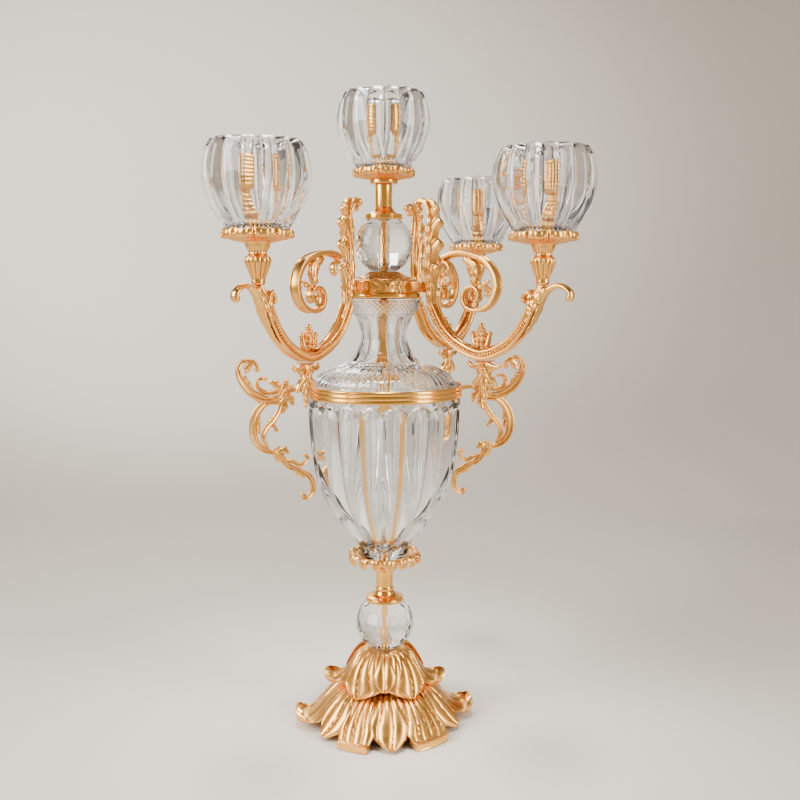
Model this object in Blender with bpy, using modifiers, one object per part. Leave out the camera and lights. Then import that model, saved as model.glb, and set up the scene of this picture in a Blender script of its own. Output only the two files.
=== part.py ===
"""Tabletop candelabra: a crystal urn on a leaf base, a centre light and three scrolled brass arms.

The origin is on the table under the centre rod, +Z is up and the middle arm points along -Y.
The lengths below are in millimetres, and MM turns them into metres where a mesh is made.
"""
import math

import bmesh
import bpy
from mathutils import Matrix, Vector

MM = 0.001
GAP = 0.3            # clearance kept between two pieces that touch
MERGE = 0.00005      # metres, far below the smallest real feature

# Where the arms and the two side handles stand around the axis, in degrees from +X
ARMS = {"left": 180.0, "front": -90.0, "right": 0.0}
HANDLES = {"front": -45.0, "back": 135.0}

# Heights of the central stack
PAD_TOP = 2.0
FOOT_Z = 0.5
LOWER_TIER_TOP = 47.0
UPPER_TIER_TOP = 87.6
LOWER_BALL_Z = 118.5
LOWER_BALL_R = 33.3
BELL_TOP = 156.8
TUBE_TOP = 182.0
CUP_RING_TOP = 187.2
BODY_FOOT_Z = 193.2
BODY_TOP = 391.0
BAND_BOTTOM = 385.0
BAND_TOP = 399.0
BAND_R = 88.8
NECK_BOTTOM = 394.6
NECK_TOP = 493.8
COLLAR_BOTTOM = 495.0
HUB_BOTTOM = 501.5
HUB_TOP = 514.5
HUB_R = 41.5
DOME_TOP = 525.0
UPPER_BALL_Z = 554.8
UPPER_BALL_R = 32.5
TOP_DISC_BOTTOM = 582.1
TOP_TUBE_BOTTOM = 595.1
TOP_FLANGE_BOTTOM = 620.4
TOP_LIGHT_Z = 628.7

# The rod that clamps the stack, and the bore that passes over it
ROD_R = 4.0
BORE = 4.4
ROD_BOTTOM = 30.0
ROD_TOP = 612.0

# Each light: a saucer, a candle cup with a threaded stud, and a lift-off glass shade
SAUCER_R = 34.5
SAUCER_FLOOR = 6.3
CUP_TOP = 76.0
SOCKET_R = 11.1
SOCKET_FLOOR = 50.0
STUD_R = 3.9
STUD_DEPTH = 8.0
SHADE_FOOT_HOLE = 15.0
SHADE_R = 51.5
SHADE_HEIGHT = 81.5

# Each arm, seen from its side: distance from the axis and height
STEM_R = 197.5
STEM_BOTTOM = 511.3
ARM_LIGHT_Z = 553.7
LUG_END = 57.7
LUG_HALF_WIDTH = 7.5
TENON_R = 3.5
TENON_Z = 508.0
TRUNK_IN = 58.0
RAIL_PATH = ((64.5, 489.5), (69.5, 480), (81, 462), (100, 446.5), (128, 437),
             (155, 446), (172, 461), (183, 478), (190.5, 496))
RAIL_HALF_WIDTH = 7.0
RAIL_HALF_DEPTH = 5.6
RAIL_STEPS = 18
SCROLL_PATH = ((81, 540.5), (96, 544.5), (115, 543), (135, 535.5), (147, 521), (148.5, 506),
               (138, 491), (121, 485.5), (108, 491), (104, 502), (110, 511), (119.5, 510),
               (123.5, 502.5), (119, 497.5))
SCROLL_HALF_WIDTH = 6.0
LEAF_HALF_WIDTH = 6.5
TRINKET_HALF_WIDTH = 4.5


# ---------------------------------------------------------------- materials

def material(name, colour, roughness, metallic=0.0, transmission=0.0):
    """One plain Principled material for a kind of piece."""
    made = bpy.data.materials.new(name)
    made.use_nodes = True
    shader = made.node_tree.nodes["Principled BSDF"]
    shader.inputs["Base Color"].default_value = (*colour, 1.0)
    shader.inputs["Roughness"].default_value = roughness
    shader.inputs["Metallic"].default_value = metallic
    shader.inputs["Transmission Weight"].default_value = transmission
    made.diffuse_color = (*colour, 1.0)
    return made


# ---------------------------------------------------------------- helpers

def place(name, data, finish):
    """Add an object to the candelabra's collection."""
    obj = bpy.data.objects.new(name, data)
    parts.objects.link(obj)
    data.materials.clear()
    data.materials.append(finish)
    return obj


def bake(obj):
    """Return the evaluated, welded mesh of an object, in the space its parent has, and remove it."""
    bpy.context.view_layer.update()
    graph = bpy.context.evaluated_depsgraph_get()
    mesh = bpy.data.meshes.new_from_object(obj.evaluated_get(graph))
    mesh.transform(obj.matrix_world)
    bm = bmesh.new()
    bm.from_mesh(mesh)
    bmesh.ops.remove_doubles(bm, verts=bm.verts, dist=MERGE)
    bm.to_mesh(mesh)
    bm.free()
    bpy.data.objects.remove(obj)
    return mesh


def smooth(mesh, degrees=35.0):
    """Shade a mesh smooth, with sharp edges kept where its faces turn sharply."""
    mesh.shade_smooth()
    mesh.set_sharp_from_angle(angle=math.radians(degrees))
    return mesh


def turned_mesh(outline, steps):
    """Turn an outline of (radius, height) points about Z; it runs down the outer side."""
    on_axis = outline[0][0] == 0 and outline[-1][0] == 0
    count = len(outline)
    edges = [(i, i + 1) for i in range(count - 1)]
    if not on_axis:
        edges.append((count - 1, 0))
    profile = bpy.data.meshes.new("profile")
    profile.from_pydata([(r * MM, 0, z * MM) for r, z in outline], edges, [])
    obj = bpy.data.objects.new("profile", profile)
    parts.objects.link(obj)
    screw = obj.modifiers.new("Turn", "SCREW")
    screw.steps = steps
    screw.render_steps = steps
    screw.use_merge_vertices = True
    screw.merge_threshold = MERGE
    return smooth(bake(obj))


def spline(points, count):
    """Read count + 1 points from a smooth curve through the given points."""
    ends = [Vector(p) for p in points]
    ends = [2 * ends[0] - ends[1], *ends, 2 * ends[-1] - ends[-2]]
    spans = len(points) - 1
    read = []
    for i in range(count + 1):
        u = i * spans / count
        k = min(int(u), spans - 1)
        t = u - k
        a, b, c, d = ends[k:k + 4]
        read.append(0.5 * (2 * b + (c - a) * t + (2 * a - 5 * b + 4 * c - d) * t * t
                           + (3 * b - a - 3 * c + d) * t * t * t))
    return read


def upright(obj):
    """Turn a flat curve drawn as (distance, height) so that its heights point along +Z."""
    obj.matrix_world = Matrix.Rotation(math.pi / 2, 4, "X")


def band_mesh(path, half_width, half_depth, count, end_depth=None):
    """A rounded strap that follows a path of (distance, height) points in the XZ plane."""
    end_depth = half_depth if end_depth is None else end_depth
    curve = bpy.data.curves.new("strap", "CURVE")
    curve.dimensions = "3D"
    curve.twist_mode = "Z_UP"
    curve.extrude = (half_width - half_depth) * MM
    curve.bevel_depth = half_depth * MM
    curve.bevel_resolution = 0
    curve.use_fill_caps = True
    line = curve.splines.new("POLY")
    line.points.add(count)
    for i, (point, at) in enumerate(zip(line.points, spline(path, count))):
        point.co = (at.x * MM, at.y * MM, 0, 1)
        point.radius = 1 + (end_depth / half_depth - 1) * i / count
    obj = bpy.data.objects.new("strap", curve)
    parts.objects.link(obj)
    upright(obj)
    return smooth(bake(obj), 50)


def plate_mesh(outline, half_width):
    """A flat casting with an outline of (distance, height) points."""
    curve = bpy.data.curves.new("plate", "CURVE")
    curve.dimensions = "2D"
    curve.fill_mode = "BOTH"
    curve.extrude = half_width * MM
    line = curve.splines.new("POLY")
    line.points.add(len(outline) - 1)
    line.use_cyclic_u = True
    for point, (x, y) in zip(line.points, outline):
        point.co = (x * MM, y * MM, 0, 1)
    obj = bpy.data.objects.new("plate", curve)
    parts.objects.link(obj)
    upright(obj)
    return smooth(bake(obj), 40)


def boolean_mesh(target, others, operation):
    """Join or cut meshes, and return one closed mesh."""
    body = bpy.data.objects.new("body", target)
    parts.objects.link(body)
    for mesh in others:
        tool = bpy.data.objects.new("tool", mesh)
        cutters.objects.link(tool)
        tool.display_type = "WIRE"
        tool.hide_render = True
        step = body.modifiers.new("Join", "BOOLEAN")
        step.operation = operation
        step.object = tool
    joined = bake(body)
    for tool in list(cutters.objects):
        bpy.data.objects.remove(tool)
    return smooth(joined)


def cylinder_mesh(radius, start, end, sides=12):
    """A cylinder between two points given in millimetres."""
    a, b = Vector(start) * MM, Vector(end) * MM
    mesh = bpy.data.meshes.new("rod")
    bm = bmesh.new()
    bmesh.ops.create_cone(bm, cap_ends=True, segments=sides, radius1=radius * MM,
                          radius2=radius * MM, depth=(b - a).length)
    turn = (b - a).to_track_quat("Z", "Y").to_matrix().to_4x4()
    bm.transform(Matrix.Translation((a + b) / 2) @ turn)
    bm.to_mesh(mesh)
    bm.free()
    return smooth(mesh)


def box_mesh(low, high):
    """A box between two corners given in millimetres."""
    low, high = Vector(low) * MM, Vector(high) * MM
    mesh = bpy.data.meshes.new("box")
    bm = bmesh.new()
    bmesh.ops.create_cube(bm, size=1.0)
    size = Matrix.Diagonal((*(high - low), 1.0))
    bm.transform(Matrix.Translation((low + high) / 2) @ size)
    bm.to_mesh(mesh)
    bm.free()
    return mesh


def ruffle(mesh, rule):
    """Move each vertex of a turned mesh by a rule on its radius, angle and height."""
    for vertex in mesh.vertices:
        x, y, z = vertex.co / MM
        radius, angle = math.hypot(x, y), math.atan2(y, x)
        radius, z = rule(radius, angle, z)
        vertex.co = Vector((radius * math.cos(angle), radius * math.sin(angle), z)) * MM
    return smooth(mesh, 50)


def ramp(value, low, high):
    """Rise smoothly from 0 at low to 1 at high."""
    t = min(max((value - low) / (high - low), 0.0), 1.0)
    return t * t * (3 - 2 * t)


def near_corner(angle, corner_degrees, width_degrees):
    """1 on either of two opposite corner directions, fading to 0 over the given width."""
    turn = math.degrees(angle) - corner_degrees
    turn = (turn + 90) % 180 - 90
    return math.exp(-(turn / width_degrees) ** 2)


# ---------------------------------------------------------------- base

CURLED_CORNERS = 135.0     # the two corner leaves whose tips curl up, in line with the handles
LOWER_PETALS = 12
UPPER_PETALS = 8


def lower_tier_rule(radius, angle, z):
    """Twelve leaves; those in line with the handles reach out and curl up at their tips."""
    reach = ramp(radius, 40, 90)
    wave = math.cos(LOWER_PETALS * (angle - math.radians(45)))
    curl = near_corner(angle, CURLED_CORNERS, 11.0) * ramp(radius, 70, 90)
    return radius * (1 + 0.035 * reach * wave) + 10 * curl, z + 17 * curl


def upper_tier_rule(radius, angle, z):
    """Eight leaves; those in line with the handles curl up and out."""
    reach = ramp(radius, 24, 50)
    wave = math.cos(UPPER_PETALS * angle)
    curl = near_corner(angle, CURLED_CORNERS, 13.0) * ramp(radius, 38, 52)
    return radius * (1 + 0.03 * reach * wave) + 18 * curl, z + 13 * curl


def make_base():
    """Felt pad, two leaf castings, and the nut that clamps the rod."""
    place("base_pad", cylinder_mesh(72, (0, 0, 0), (0, 0, PAD_TOP), 32), felt)
    lower = [(BORE, LOWER_TIER_TOP), (40, 44.5), (60, 34), (76, 20), (87, 8), (91, FOOT_Z),
             (85, FOOT_Z), (71, 16), (56, 28), (14, 40), (BORE, 40)]
    place("base_lower_leaves", ruffle(turned_mesh(lower, 36), lower_tier_rule), brass)
    upper = [(BORE, UPPER_TIER_TOP), (14, UPPER_TIER_TOP), (24, 90), (34, 84), (44, 68),
             (54, 48.5), (49, 48.5), (38, 67), (26, 77), (13, 77),
             (13, LOWER_TIER_TOP + GAP), (BORE, LOWER_TIER_TOP + GAP)]
    place("base_upper_leaves", ruffle(turned_mesh(upper, 32), upper_tier_rule), brass)
    nut = cylinder_mesh(7.5, (0, 0, 33.2), (0, 0, 39.7), 6)
    bore = cylinder_mesh(BORE, (0, 0, 30), (0, 0, 45), 16)
    place("base_nut", boolean_mesh(nut, [bore], "DIFFERENCE"), steel)
    place("tie_rod", cylinder_mesh(ROD_R, (0, 0, ROD_BOTTOM), (0, 0, ROD_TOP), 12), steel)


# ---------------------------------------------------------------- column and urn

def ball_outline(centre, radius, low, high, rows=7):
    """A bored ball, cut flat at the two heights where its neighbours meet it."""
    start = math.acos((high - centre) / radius)
    end = math.acos((low - centre) / radius)
    rim = []
    for i in range(rows + 1):
        turn = start + (end - start) * i / rows
        rim.append((radius * math.sin(turn), centre + radius * math.cos(turn)))
    return [(BORE, high), *rim, (BORE, low)]


def spacer(name, outer, bottom, top, finish, steps=16):
    """A plain bored ring or tube on the centre rod."""
    outline = [(outer - 0.8, top), (outer, top - 0.8), (outer, bottom + 0.8),
               (outer - 0.8, bottom), (BORE, bottom), (BORE, top)]
    place(name, turned_mesh(outline, steps), finish)


def cup_leaf_rule(radius, angle, z):
    """Eight leaves around the cup that carries the urn."""
    reach = ramp(radius, 24, 40)
    return radius * (1 + 0.06 * reach * math.cos(8 * angle)), z


def make_column():
    """Lower crystal ball, bell, tube, ring and the leaf cup under the urn."""
    low, high = LOWER_BALL_Z - 30.5, LOWER_BALL_Z + 30.5
    ball = ball_outline(LOWER_BALL_Z, LOWER_BALL_R, low, high)
    place("lower_ball", turned_mesh(ball, 16), crystal)
    bell = [(BORE, BELL_TOP), (10.6, BELL_TOP), (12, 153), (16, 150.6), (21.5, 149.6),
            (22, 144.7), (21, 144.9), (17.5, 147.3), (13.6, high + 0.35), (BORE, high + 0.35)]
    place("lower_bell", turned_mesh(bell, 16), brass)
    spacer("lower_tube", 10.4, BELL_TOP + GAP, TUBE_TOP, brass)
    spacer("cup_ring", 14.9, TUBE_TOP + GAP, CUP_RING_TOP, brass)
    base = CUP_RING_TOP + GAP
    cup = [(30, 203), (36, 205), (41, 201), (39.5, 190), (37, 198), (33, 199.5), (22, 191),
           (13, base), (BORE, base), (BORE, 191.5), (18, 192), (26, 197.3)]
    place("leaf_cup", ruffle(turned_mesh(cup, 24), cup_leaf_rule), brass)


def make_urn():
    """Crystal body and neck, the brass band that joins them, the sleeve and the gasket."""
    body = [(81, BODY_TOP), (86.4, BODY_TOP), (86.3, 368), (84.4, 337), (79.8, 300),
            (73, 275), (60.2, 250.6), (50.1, 235), (35.8, 219), (28.6, 210),
            (28.2, 203), (18, BODY_FOOT_Z), (BORE, BODY_FOOT_Z), (BORE, 214),
            (14, 215), (32, 226), (54, 252), (67, 276), (74.5, 300), (79, 337), (81, 368)]
    place("urn_body", turned_mesh(body, 24), crystal)
    flange = (392.4, 393.4)
    rim = BAND_R - 1.8
    band = [(rim, BAND_TOP), (BAND_R - 0.5, BAND_TOP), (BAND_R, BAND_TOP - 2),
            (BAND_R, BAND_BOTTOM + 2), (BAND_R - 0.5, BAND_BOTTOM), (rim, BAND_BOTTOM),
            (rim, flange[0]), (80, flange[0]), (80, flange[1]), (rim, flange[1])]
    place("urn_band", turned_mesh(band, 28), brass)
    neck = [(36.5, NECK_TOP), (41.4, NECK_TOP), (38.5, 483), (30, 471), (26, 452), (30, 437),
            (38, 425.5), (48, 421), (62, 417), (74, 411), (80, 403), (83, 399), (84, NECK_BOTTOM),
            (77, NECK_BOTTOM), (76, 400), (60, 412), (34, 421), (25.5, 436), (21.5, 452),
            (25.5, 471), (34, 483)]
    place("urn_neck", turned_mesh(neck, 24), crystal)
    sleeve = [(BORE, 493.5), (14, 493.5), (13, 490), (7, 486), (5.8, 478), (5.8, 430), (9, 428.5),
              (9, 425.5), (5.8, 424), (5.8, 216), (BORE, 216)]
    place("rod_sleeve", turned_mesh(sleeve, 12), brass)
    gasket_low, gasket_high = 192.1, BODY_FOOT_Z - GAP
    gasket = [(16, gasket_high), (16, gasket_low), (BORE + 1, gasket_low), (BORE + 1, gasket_high)]
    place("foot_gasket", turned_mesh(gasket, 16), rubber)


def make_crown():
    """Collar, arm hub with its lugs, dome, upper ball and the fittings below the centre light."""
    spacer("neck_collar", 41.3, COLLAR_BOTTOM, HUB_BOTTOM - GAP, brass, 24)
    ring = [(BORE, HUB_TOP), (HUB_R - 3, HUB_TOP), (HUB_R, HUB_TOP - 2), (HUB_R, HUB_BOTTOM + 2),
            (HUB_R - 3, HUB_BOTTOM), (BORE, HUB_BOTTOM)]
    hub = turned_mesh(ring, 24)
    lugs, bores = [], []
    for degrees in ARMS.values():
        turn = Matrix.Rotation(math.radians(degrees), 4, "Z")
        lug = box_mesh((HUB_R - 4, -LUG_HALF_WIDTH, HUB_BOTTOM + 0.4),
                       (LUG_END, LUG_HALF_WIDTH, HUB_TOP - 0.4))
        socket = cylinder_mesh(TENON_R + GAP, (46, 0, TENON_Z), (LUG_END + 2, 0, TENON_Z))
        grub = cylinder_mesh(2.2, (52, 0, HUB_BOTTOM - 2), (52, 0, TENON_Z))
        for mesh, group in ((lug, lugs), (socket, bores), (grub, bores)):
            mesh.transform(turn)
            group.append(mesh)
    hub = boolean_mesh(hub, lugs, "UNION")
    place("arm_hub", boolean_mesh(hub, bores, "DIFFERENCE"), brass)
    screw = cylinder_mesh(1.9, (52, 0, HUB_BOTTOM + 0.4), (52, 0, TENON_Z - TENON_R - GAP))
    for side, degrees in ARMS.items():
        place(f"{side}_grub_screw", screw, steel).rotation_euler.z = math.radians(degrees)
    dome = [(BORE, DOME_TOP), (14.5, DOME_TOP), (20, 522), (25, 517.5), (36, HUB_TOP + 1.6),
            (36, HUB_TOP + GAP), (BORE, HUB_TOP + GAP)]
    place("hub_dome", turned_mesh(dome, 16), brass)
    ball = ball_outline(UPPER_BALL_Z, UPPER_BALL_R, DOME_TOP + GAP, TOP_DISC_BOTTOM - GAP)
    place("upper_ball", turned_mesh(ball, 16), crystal)
    disc = [(BORE, 594.8), (9.6, 594.8), (12.5, 591), (16.5, 588.2), (20.9, 587.7),
            (20.9, TOP_DISC_BOTTOM), (BORE, TOP_DISC_BOTTOM)]
    place("top_disc", turned_mesh(disc, 16), brass)
    spacer("top_tube", 9.5, TOP_TUBE_BOTTOM, TOP_FLANGE_BOTTOM - GAP, brass)
    spacer("top_flange", 15.5, TOP_FLANGE_BOTTOM, TOP_LIGHT_Z - GAP, brass)


# ---------------------------------------------------------------- lights

def scallop_rule(radius, angle, z):
    """Ten shallow lobes on the saucer's rim."""
    return radius * (1 + 0.03 * ramp(radius, 24, 34) * math.cos(10 * angle)), z


def light_meshes():
    """The saucer, candle cup and glass shade that every light repeats, standing on z = 0."""
    saucer = [(BORE, SAUCER_FLOOR), (30.5, SAUCER_FLOOR), (SAUCER_R, 8.3),
              (32.5, 4.8), (14, 0), (BORE, 0)]
    cup = [(0, SOCKET_FLOOR), (SOCKET_R, SOCKET_FLOOR), (SOCKET_R, CUP_TOP), (12.8, CUP_TOP),
           (12.4, 48), (6, 38), (6, 12), (12, 9),
           (12, SAUCER_FLOOR + GAP), (STUD_R, SAUCER_FLOOR + GAP), (STUD_R, -STUD_DEPTH),
           (0, -STUD_DEPTH)]
    foot = SAUCER_FLOOR + 0.4
    wall = 4.6
    outer = [(0.845, 1.0), (0.945, 0.88), (1.0, 0.68), (0.985, 0.5), (0.88, 0.3), (0.70, 0.13),
             (0.575, 0.0)]
    side = [(r * SHADE_R, foot + h * SHADE_HEIGHT) for r, h in outer]
    inside = [(SHADE_FOOT_HOLE, foot), (SHADE_FOOT_HOLE, foot + 6)]
    inside += [(r - wall, z + 1.5) for r, z in side[-2:0:-1]]
    inside.append((side[0][0] - wall + 0.6, foot + SHADE_HEIGHT))
    return {"saucer": ruffle(turned_mesh(saucer, 20), scallop_rule),
            "candle_cup": turned_mesh(cup, 14),
            "shade": turned_mesh(side + inside, 16)}


def make_light(prefix, meshes, parent, distance, height):
    """Place one light; its shade lifts straight up along its own axis."""
    finishes = {"saucer": brass, "candle_cup": brass, "shade": crystal}
    for kind, mesh in meshes.items():
        piece = place(f"{prefix}_{kind}", mesh, finishes[kind])
        piece.parent = parent
        piece.location = (distance * MM, 0, height * MM)


# ---------------------------------------------------------------- arms

def trunk_leaf_mesh():
    """The upright leaf with the trunk below it and the tenon that enters the hub."""
    outline = [(TRUNK_IN, 487.2), (70.8, 494), (72, 505), (74, 520), (76, 534), (78, 547), (88, 557),
               (81, 561), (82, 567), (90, 576), (79, 582), (71, 590), (61, 598), (50, 603),
               (43, 602), (41.5, 597), (46, 592.5), (52, 595), (57, 589), (59, 578),
               (56, 556), (53, 542), (50.5, 534), (53, 526), (TRUNK_IN, 518)]
    leaf = plate_mesh(outline, LEAF_HALF_WIDTH)
    tenon = cylinder_mesh(TENON_R, (47, 0, TENON_Z), (TRUNK_IN + 6, 0, TENON_Z))
    return boolean_mesh(leaf, [tenon], "UNION")


def rail_edge(side, gap, low, high):
    """Points along one edge of the rail's lowest stretch, a small gap away from it."""
    path = spline(RAIL_PATH, RAIL_STEPS)
    edge = []
    for before, at, after in zip(path, path[1:], path[2:]):
        along = (after - before).normalized()
        across = Vector((-along.y, along.x)) * side * (RAIL_HALF_DEPTH + gap)
        spot = at + across
        if low <= spot.x <= high:
            edge.append((spot.x, spot.y))
    return edge


def finial_mesh():
    """The bud and curled leaves that stand in the hollow of the rail."""
    outline = rail_edge(1, 0.4, 108, 152)
    outline += [(150, 455), (141, 451), (144, 460), (140, 463), (136.5, 458), (137, 468),
                (133, 475), (129, 468), (129.5, 458), (126, 463), (122, 460), (124, 451),
                (112, 454)]
    return plate_mesh(outline, TRINKET_HALF_WIDTH)


def pendant_mesh():
    """The leaf drop that hangs under the rail."""
    outline = rail_edge(-1, 0.4, 108, 152)[::-1]
    outline += [(112, 431), (122, 425), (128, 418), (124, 408), (122, 400), (127, 391), (133, 386),
                (139, 391), (145, 400), (142, 409), (137, 418), (143, 425), (152, 431)]
    return plate_mesh(outline, TRINKET_HALF_WIDTH)


def collar_leaf_mesh():
    """The leaf that wraps the end of the rail, with one curl outwards and one inwards."""
    core = plate_mesh([(184.5, 500), (194, 496.7), (204, 511), (191, 511)], 6.0)
    outer = band_mesh(((197, 502), (204, 509.5), (214, 513), (224, 511), (229, 505.5), (226, 501)),
                      5.0, 2.4, 8)
    inner = band_mesh(((189.5, 501.5), (186, 506.5), (180, 507), (176.5, 502.5), (179, 499)),
                      4.6, 2.2, 7)
    return boolean_mesh(core, [outer, inner], "UNION")


def stem_mesh():
    """The fluted stem with the collar that carries a light, bored for the candle cup's stud."""
    outline = [(0, 542), (STUD_R + GAP, 542), (STUD_R + GAP, ARM_LIGHT_Z - GAP),
               (13.3, ARM_LIGHT_Z - GAP), (13.2, 545.5), (9, 540), (9, 537.5), (12.8, 533),
               (7.5, 518), (5.4, 513.5), (5.4, STEM_BOTTOM), (0, STEM_BOTTOM)]
    return turned_mesh(outline, 12)


def make_arms(lights):
    """Three equal arms, each on an empty that carries its direction."""
    meshes = {"leaf": trunk_leaf_mesh(),
              "rail": band_mesh(RAIL_PATH, RAIL_HALF_WIDTH, RAIL_HALF_DEPTH, RAIL_STEPS),
              "scroll": band_mesh(SCROLL_PATH, SCROLL_HALF_WIDTH, 3.3, 28, 1.8),
              "finial": finial_mesh(), "pendant": pendant_mesh(),
              "collar_leaf": collar_leaf_mesh()}
    stem = stem_mesh()
    for side, degrees in ARMS.items():
        frame = bpy.data.objects.new(f"{side}_arm_frame", None)
        parts.objects.link(frame)
        frame.rotation_euler.z = math.radians(degrees)
        for kind, mesh in meshes.items():
            place(f"{side}_arm_{kind}", mesh, brass).parent = frame
        post = place(f"{side}_arm_stem", stem, brass)
        post.parent = frame
        post.location.x = STEM_R * MM
        make_light(side, lights, frame, STEM_R, ARM_LIGHT_Z)


# ---------------------------------------------------------------- handles

def handle_mesh():
    """One openwork handle: two C-scrolls, their inner curls, and a tail that follows the urn."""
    root = band_mesh(((BAND_R + GAP + 0.1, 392.5), (100, 392.5), (112, 392)), 4.0, 3.0, 3)
    straps = [
        (((114, 396), (118, 386), (132, 383), (148, 390), (159, 403), (163, 416), (159, 425),
          (151, 427), (144, 423.5), (142, 417)), 2.6, 15),
        (((134, 407.5), (141, 404.5), (141.5, 397), (135, 391.5), (125, 391), (114, 394.5)), 2.1, 9),
        (((113, 392), (118, 381), (133, 379), (143.5, 368), (148, 352), (146, 338), (138, 327.5),
          (127, 323.5), (121, 328)), 2.6, 14),
        (((115, 388), (118, 372), (124, 361), (133, 351), (137, 340), (132, 327)), 2.2, 9),
        (((130, 355), (125, 353.5), (122.5, 348.5)), 2.0, 3),
        (((125, 327), (117, 318), (109, 307), (96, 301.5), (85.5, 294), (81.5, 283), (84, 273.5),
          (91, 269), (95, 273)), 2.6, 14),
        (((113, 313), (104, 312), (97, 308.5), (91, 310.5), (88, 316), (91.5, 320)), 2.0, 7),
    ]
    others = [band_mesh(path, 3.9 - 0.11 * i, depth, count)
              for i, (path, depth, count) in enumerate(straps)]
    return boolean_mesh(root, others, "UNION")


def make_handles():
    """Two equal handles on the ends of one diagonal of the band."""
    mesh = handle_mesh()
    for side, degrees in HANDLES.items():
        handle = place(f"{side}_handle", mesh, brass)
        handle.rotation_euler.z = math.radians(degrees)


# ---------------------------------------------------------------- assembly

for old in list(bpy.data.objects):
    bpy.data.objects.remove(old)

parts = bpy.data.collections.new("candelabra")
cutters = bpy.data.collections.new("cutters")
bpy.context.scene.collection.children.link(parts)
bpy.context.scene.collection.children.link(cutters)

brass = material("polished_brass", (0.86, 0.58, 0.27), 0.22, metallic=1.0)
crystal = material("cut_crystal", (0.95, 0.96, 0.97), 0.03, transmission=1.0)
steel = material("zinc_steel", (0.55, 0.56, 0.58), 0.35, metallic=1.0)
rubber = material("clear_rubber", (0.75, 0.75, 0.72), 0.5)
felt = material("green_felt", (0.06, 0.13, 0.08), 0.95)

make_base()
make_column()
make_urn()
make_crown()
light_set = light_meshes()
make_light("top", light_set, None, 0, TOP_LIGHT_Z)
make_arms(light_set)
make_handles()
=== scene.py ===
import math

import bmesh
import bpy
import numpy as np
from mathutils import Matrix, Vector


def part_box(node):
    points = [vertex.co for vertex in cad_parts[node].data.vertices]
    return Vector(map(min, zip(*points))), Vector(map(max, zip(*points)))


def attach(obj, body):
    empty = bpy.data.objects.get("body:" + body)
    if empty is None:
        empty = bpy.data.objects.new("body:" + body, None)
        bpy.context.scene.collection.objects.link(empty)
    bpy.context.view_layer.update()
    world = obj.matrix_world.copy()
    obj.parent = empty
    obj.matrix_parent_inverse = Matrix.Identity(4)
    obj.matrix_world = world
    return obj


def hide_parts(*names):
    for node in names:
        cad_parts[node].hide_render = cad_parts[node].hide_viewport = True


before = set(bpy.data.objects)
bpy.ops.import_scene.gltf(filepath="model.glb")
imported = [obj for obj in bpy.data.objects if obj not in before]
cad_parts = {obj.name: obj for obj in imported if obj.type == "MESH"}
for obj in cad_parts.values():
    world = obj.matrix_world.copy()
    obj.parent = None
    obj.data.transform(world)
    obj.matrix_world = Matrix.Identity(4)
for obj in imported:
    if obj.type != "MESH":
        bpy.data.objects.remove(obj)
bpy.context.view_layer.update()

MM = 0.001
TAU = math.tau
ARMS = {"left": 180.0, "front": -90.0, "right": 0.0}
HANDLES = {"front_handle": -45.0, "back_handle": 135.0}
BORE = 4.4           # radius of the bore that the centre rod passes through

# The azimuth of the base's front leaf; everything on the base repeats half a turn on
BASE_FRONT = -143.0


def corners(node):
    """The lowest and highest corners of a CAD node, in millimetres."""
    low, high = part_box(node)
    return Vector(low) / MM, Vector(high) / MM


def added(name, data):
    """A new object in the scene."""
    made = bpy.data.objects.new(name, data)
    bpy.context.scene.collection.objects.link(made)
    return made


# ---------------------------------------------------------------- curves and outlines

def spline(points, count):
    """Evenly spaced points on a smooth curve through the given ones."""
    p = np.asarray(points, float)
    p = np.vstack((2 * p[0] - p[1], p, 2 * p[-1] - p[-2]))
    t = np.linspace(0, len(p) - 3 - 1e-9, 12 * len(p))
    i = t.astype(int)
    f = (t - i)[:, None]
    a, b, c, d = (p[i + k] for k in range(4))
    curve = 0.5 * (2 * b + (c - a) * f + (2 * a - 5 * b + 4 * c - d) * f**2
                   + (3 * b - a - 3 * c + d) * f**3)
    return even(curve, count)


def even(points, count):
    """The same line, given by evenly spaced points."""
    p = np.asarray(points, float)
    run = np.r_[0, np.cumsum(np.linalg.norm(np.diff(p, axis=0), axis=1))]
    return np.stack([np.interp(np.linspace(0, run[-1], count), run, axis) for axis in p.T], 1)


def eased(outline, radius, closed=False, cuts=3):
    """An outline with each of its corners rounded off."""
    p = [np.array(q, float) for q in outline]
    made = [] if closed else [p[0]]
    for k in range(len(p)) if closed else range(1, len(p) - 1):
        before, at, after = p[k - 1], p[k], p[(k + 1) % len(p)]
        ends = []
        for other in (before, after):
            length = np.linalg.norm(other - at)
            ends.append(at + (other - at) * min(radius / length, 0.45))
        for t in np.linspace(0, 1, cuts + 1):
            made.append((1 - t)**2 * ends[0] + 2 * t * (1 - t) * at + t**2 * ends[1])
    if not closed:
        made.append(p[-1])
    return np.array(made)


def divided(outline, step):
    """An outline with extra points, so that no stretch is much longer than the step."""
    stretches = [even((a, b), max(2, round(np.linalg.norm(b - a) / step)))[:-1]
                 for a, b in zip(outline[:-1], outline[1:])]
    return np.concatenate((*stretches, outline[-1:]))


def values(controls, count):
    """A smooth run of numbers through evenly spaced controls."""
    controls = np.asarray(controls, float)
    place = np.arange(len(controls))
    return spline(np.stack((place, controls), 1), 8 * count)[:, 1][
        np.linspace(0, 8 * count - 1, count).astype(int)]


def ramp(value, low, high):
    """0 below low, 1 above high, and a smooth step between."""
    t = np.clip((value - low) / (high - low), 0, 1)
    return t * t * (3 - 2 * t)


def arc(phase):
    """A round hump over each whole number of turns, 0 where two humps meet."""
    x = np.mod(phase, 1.0)
    return np.sqrt(np.clip(1 - (2 * x - 1)**2, 0, 1))


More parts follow.
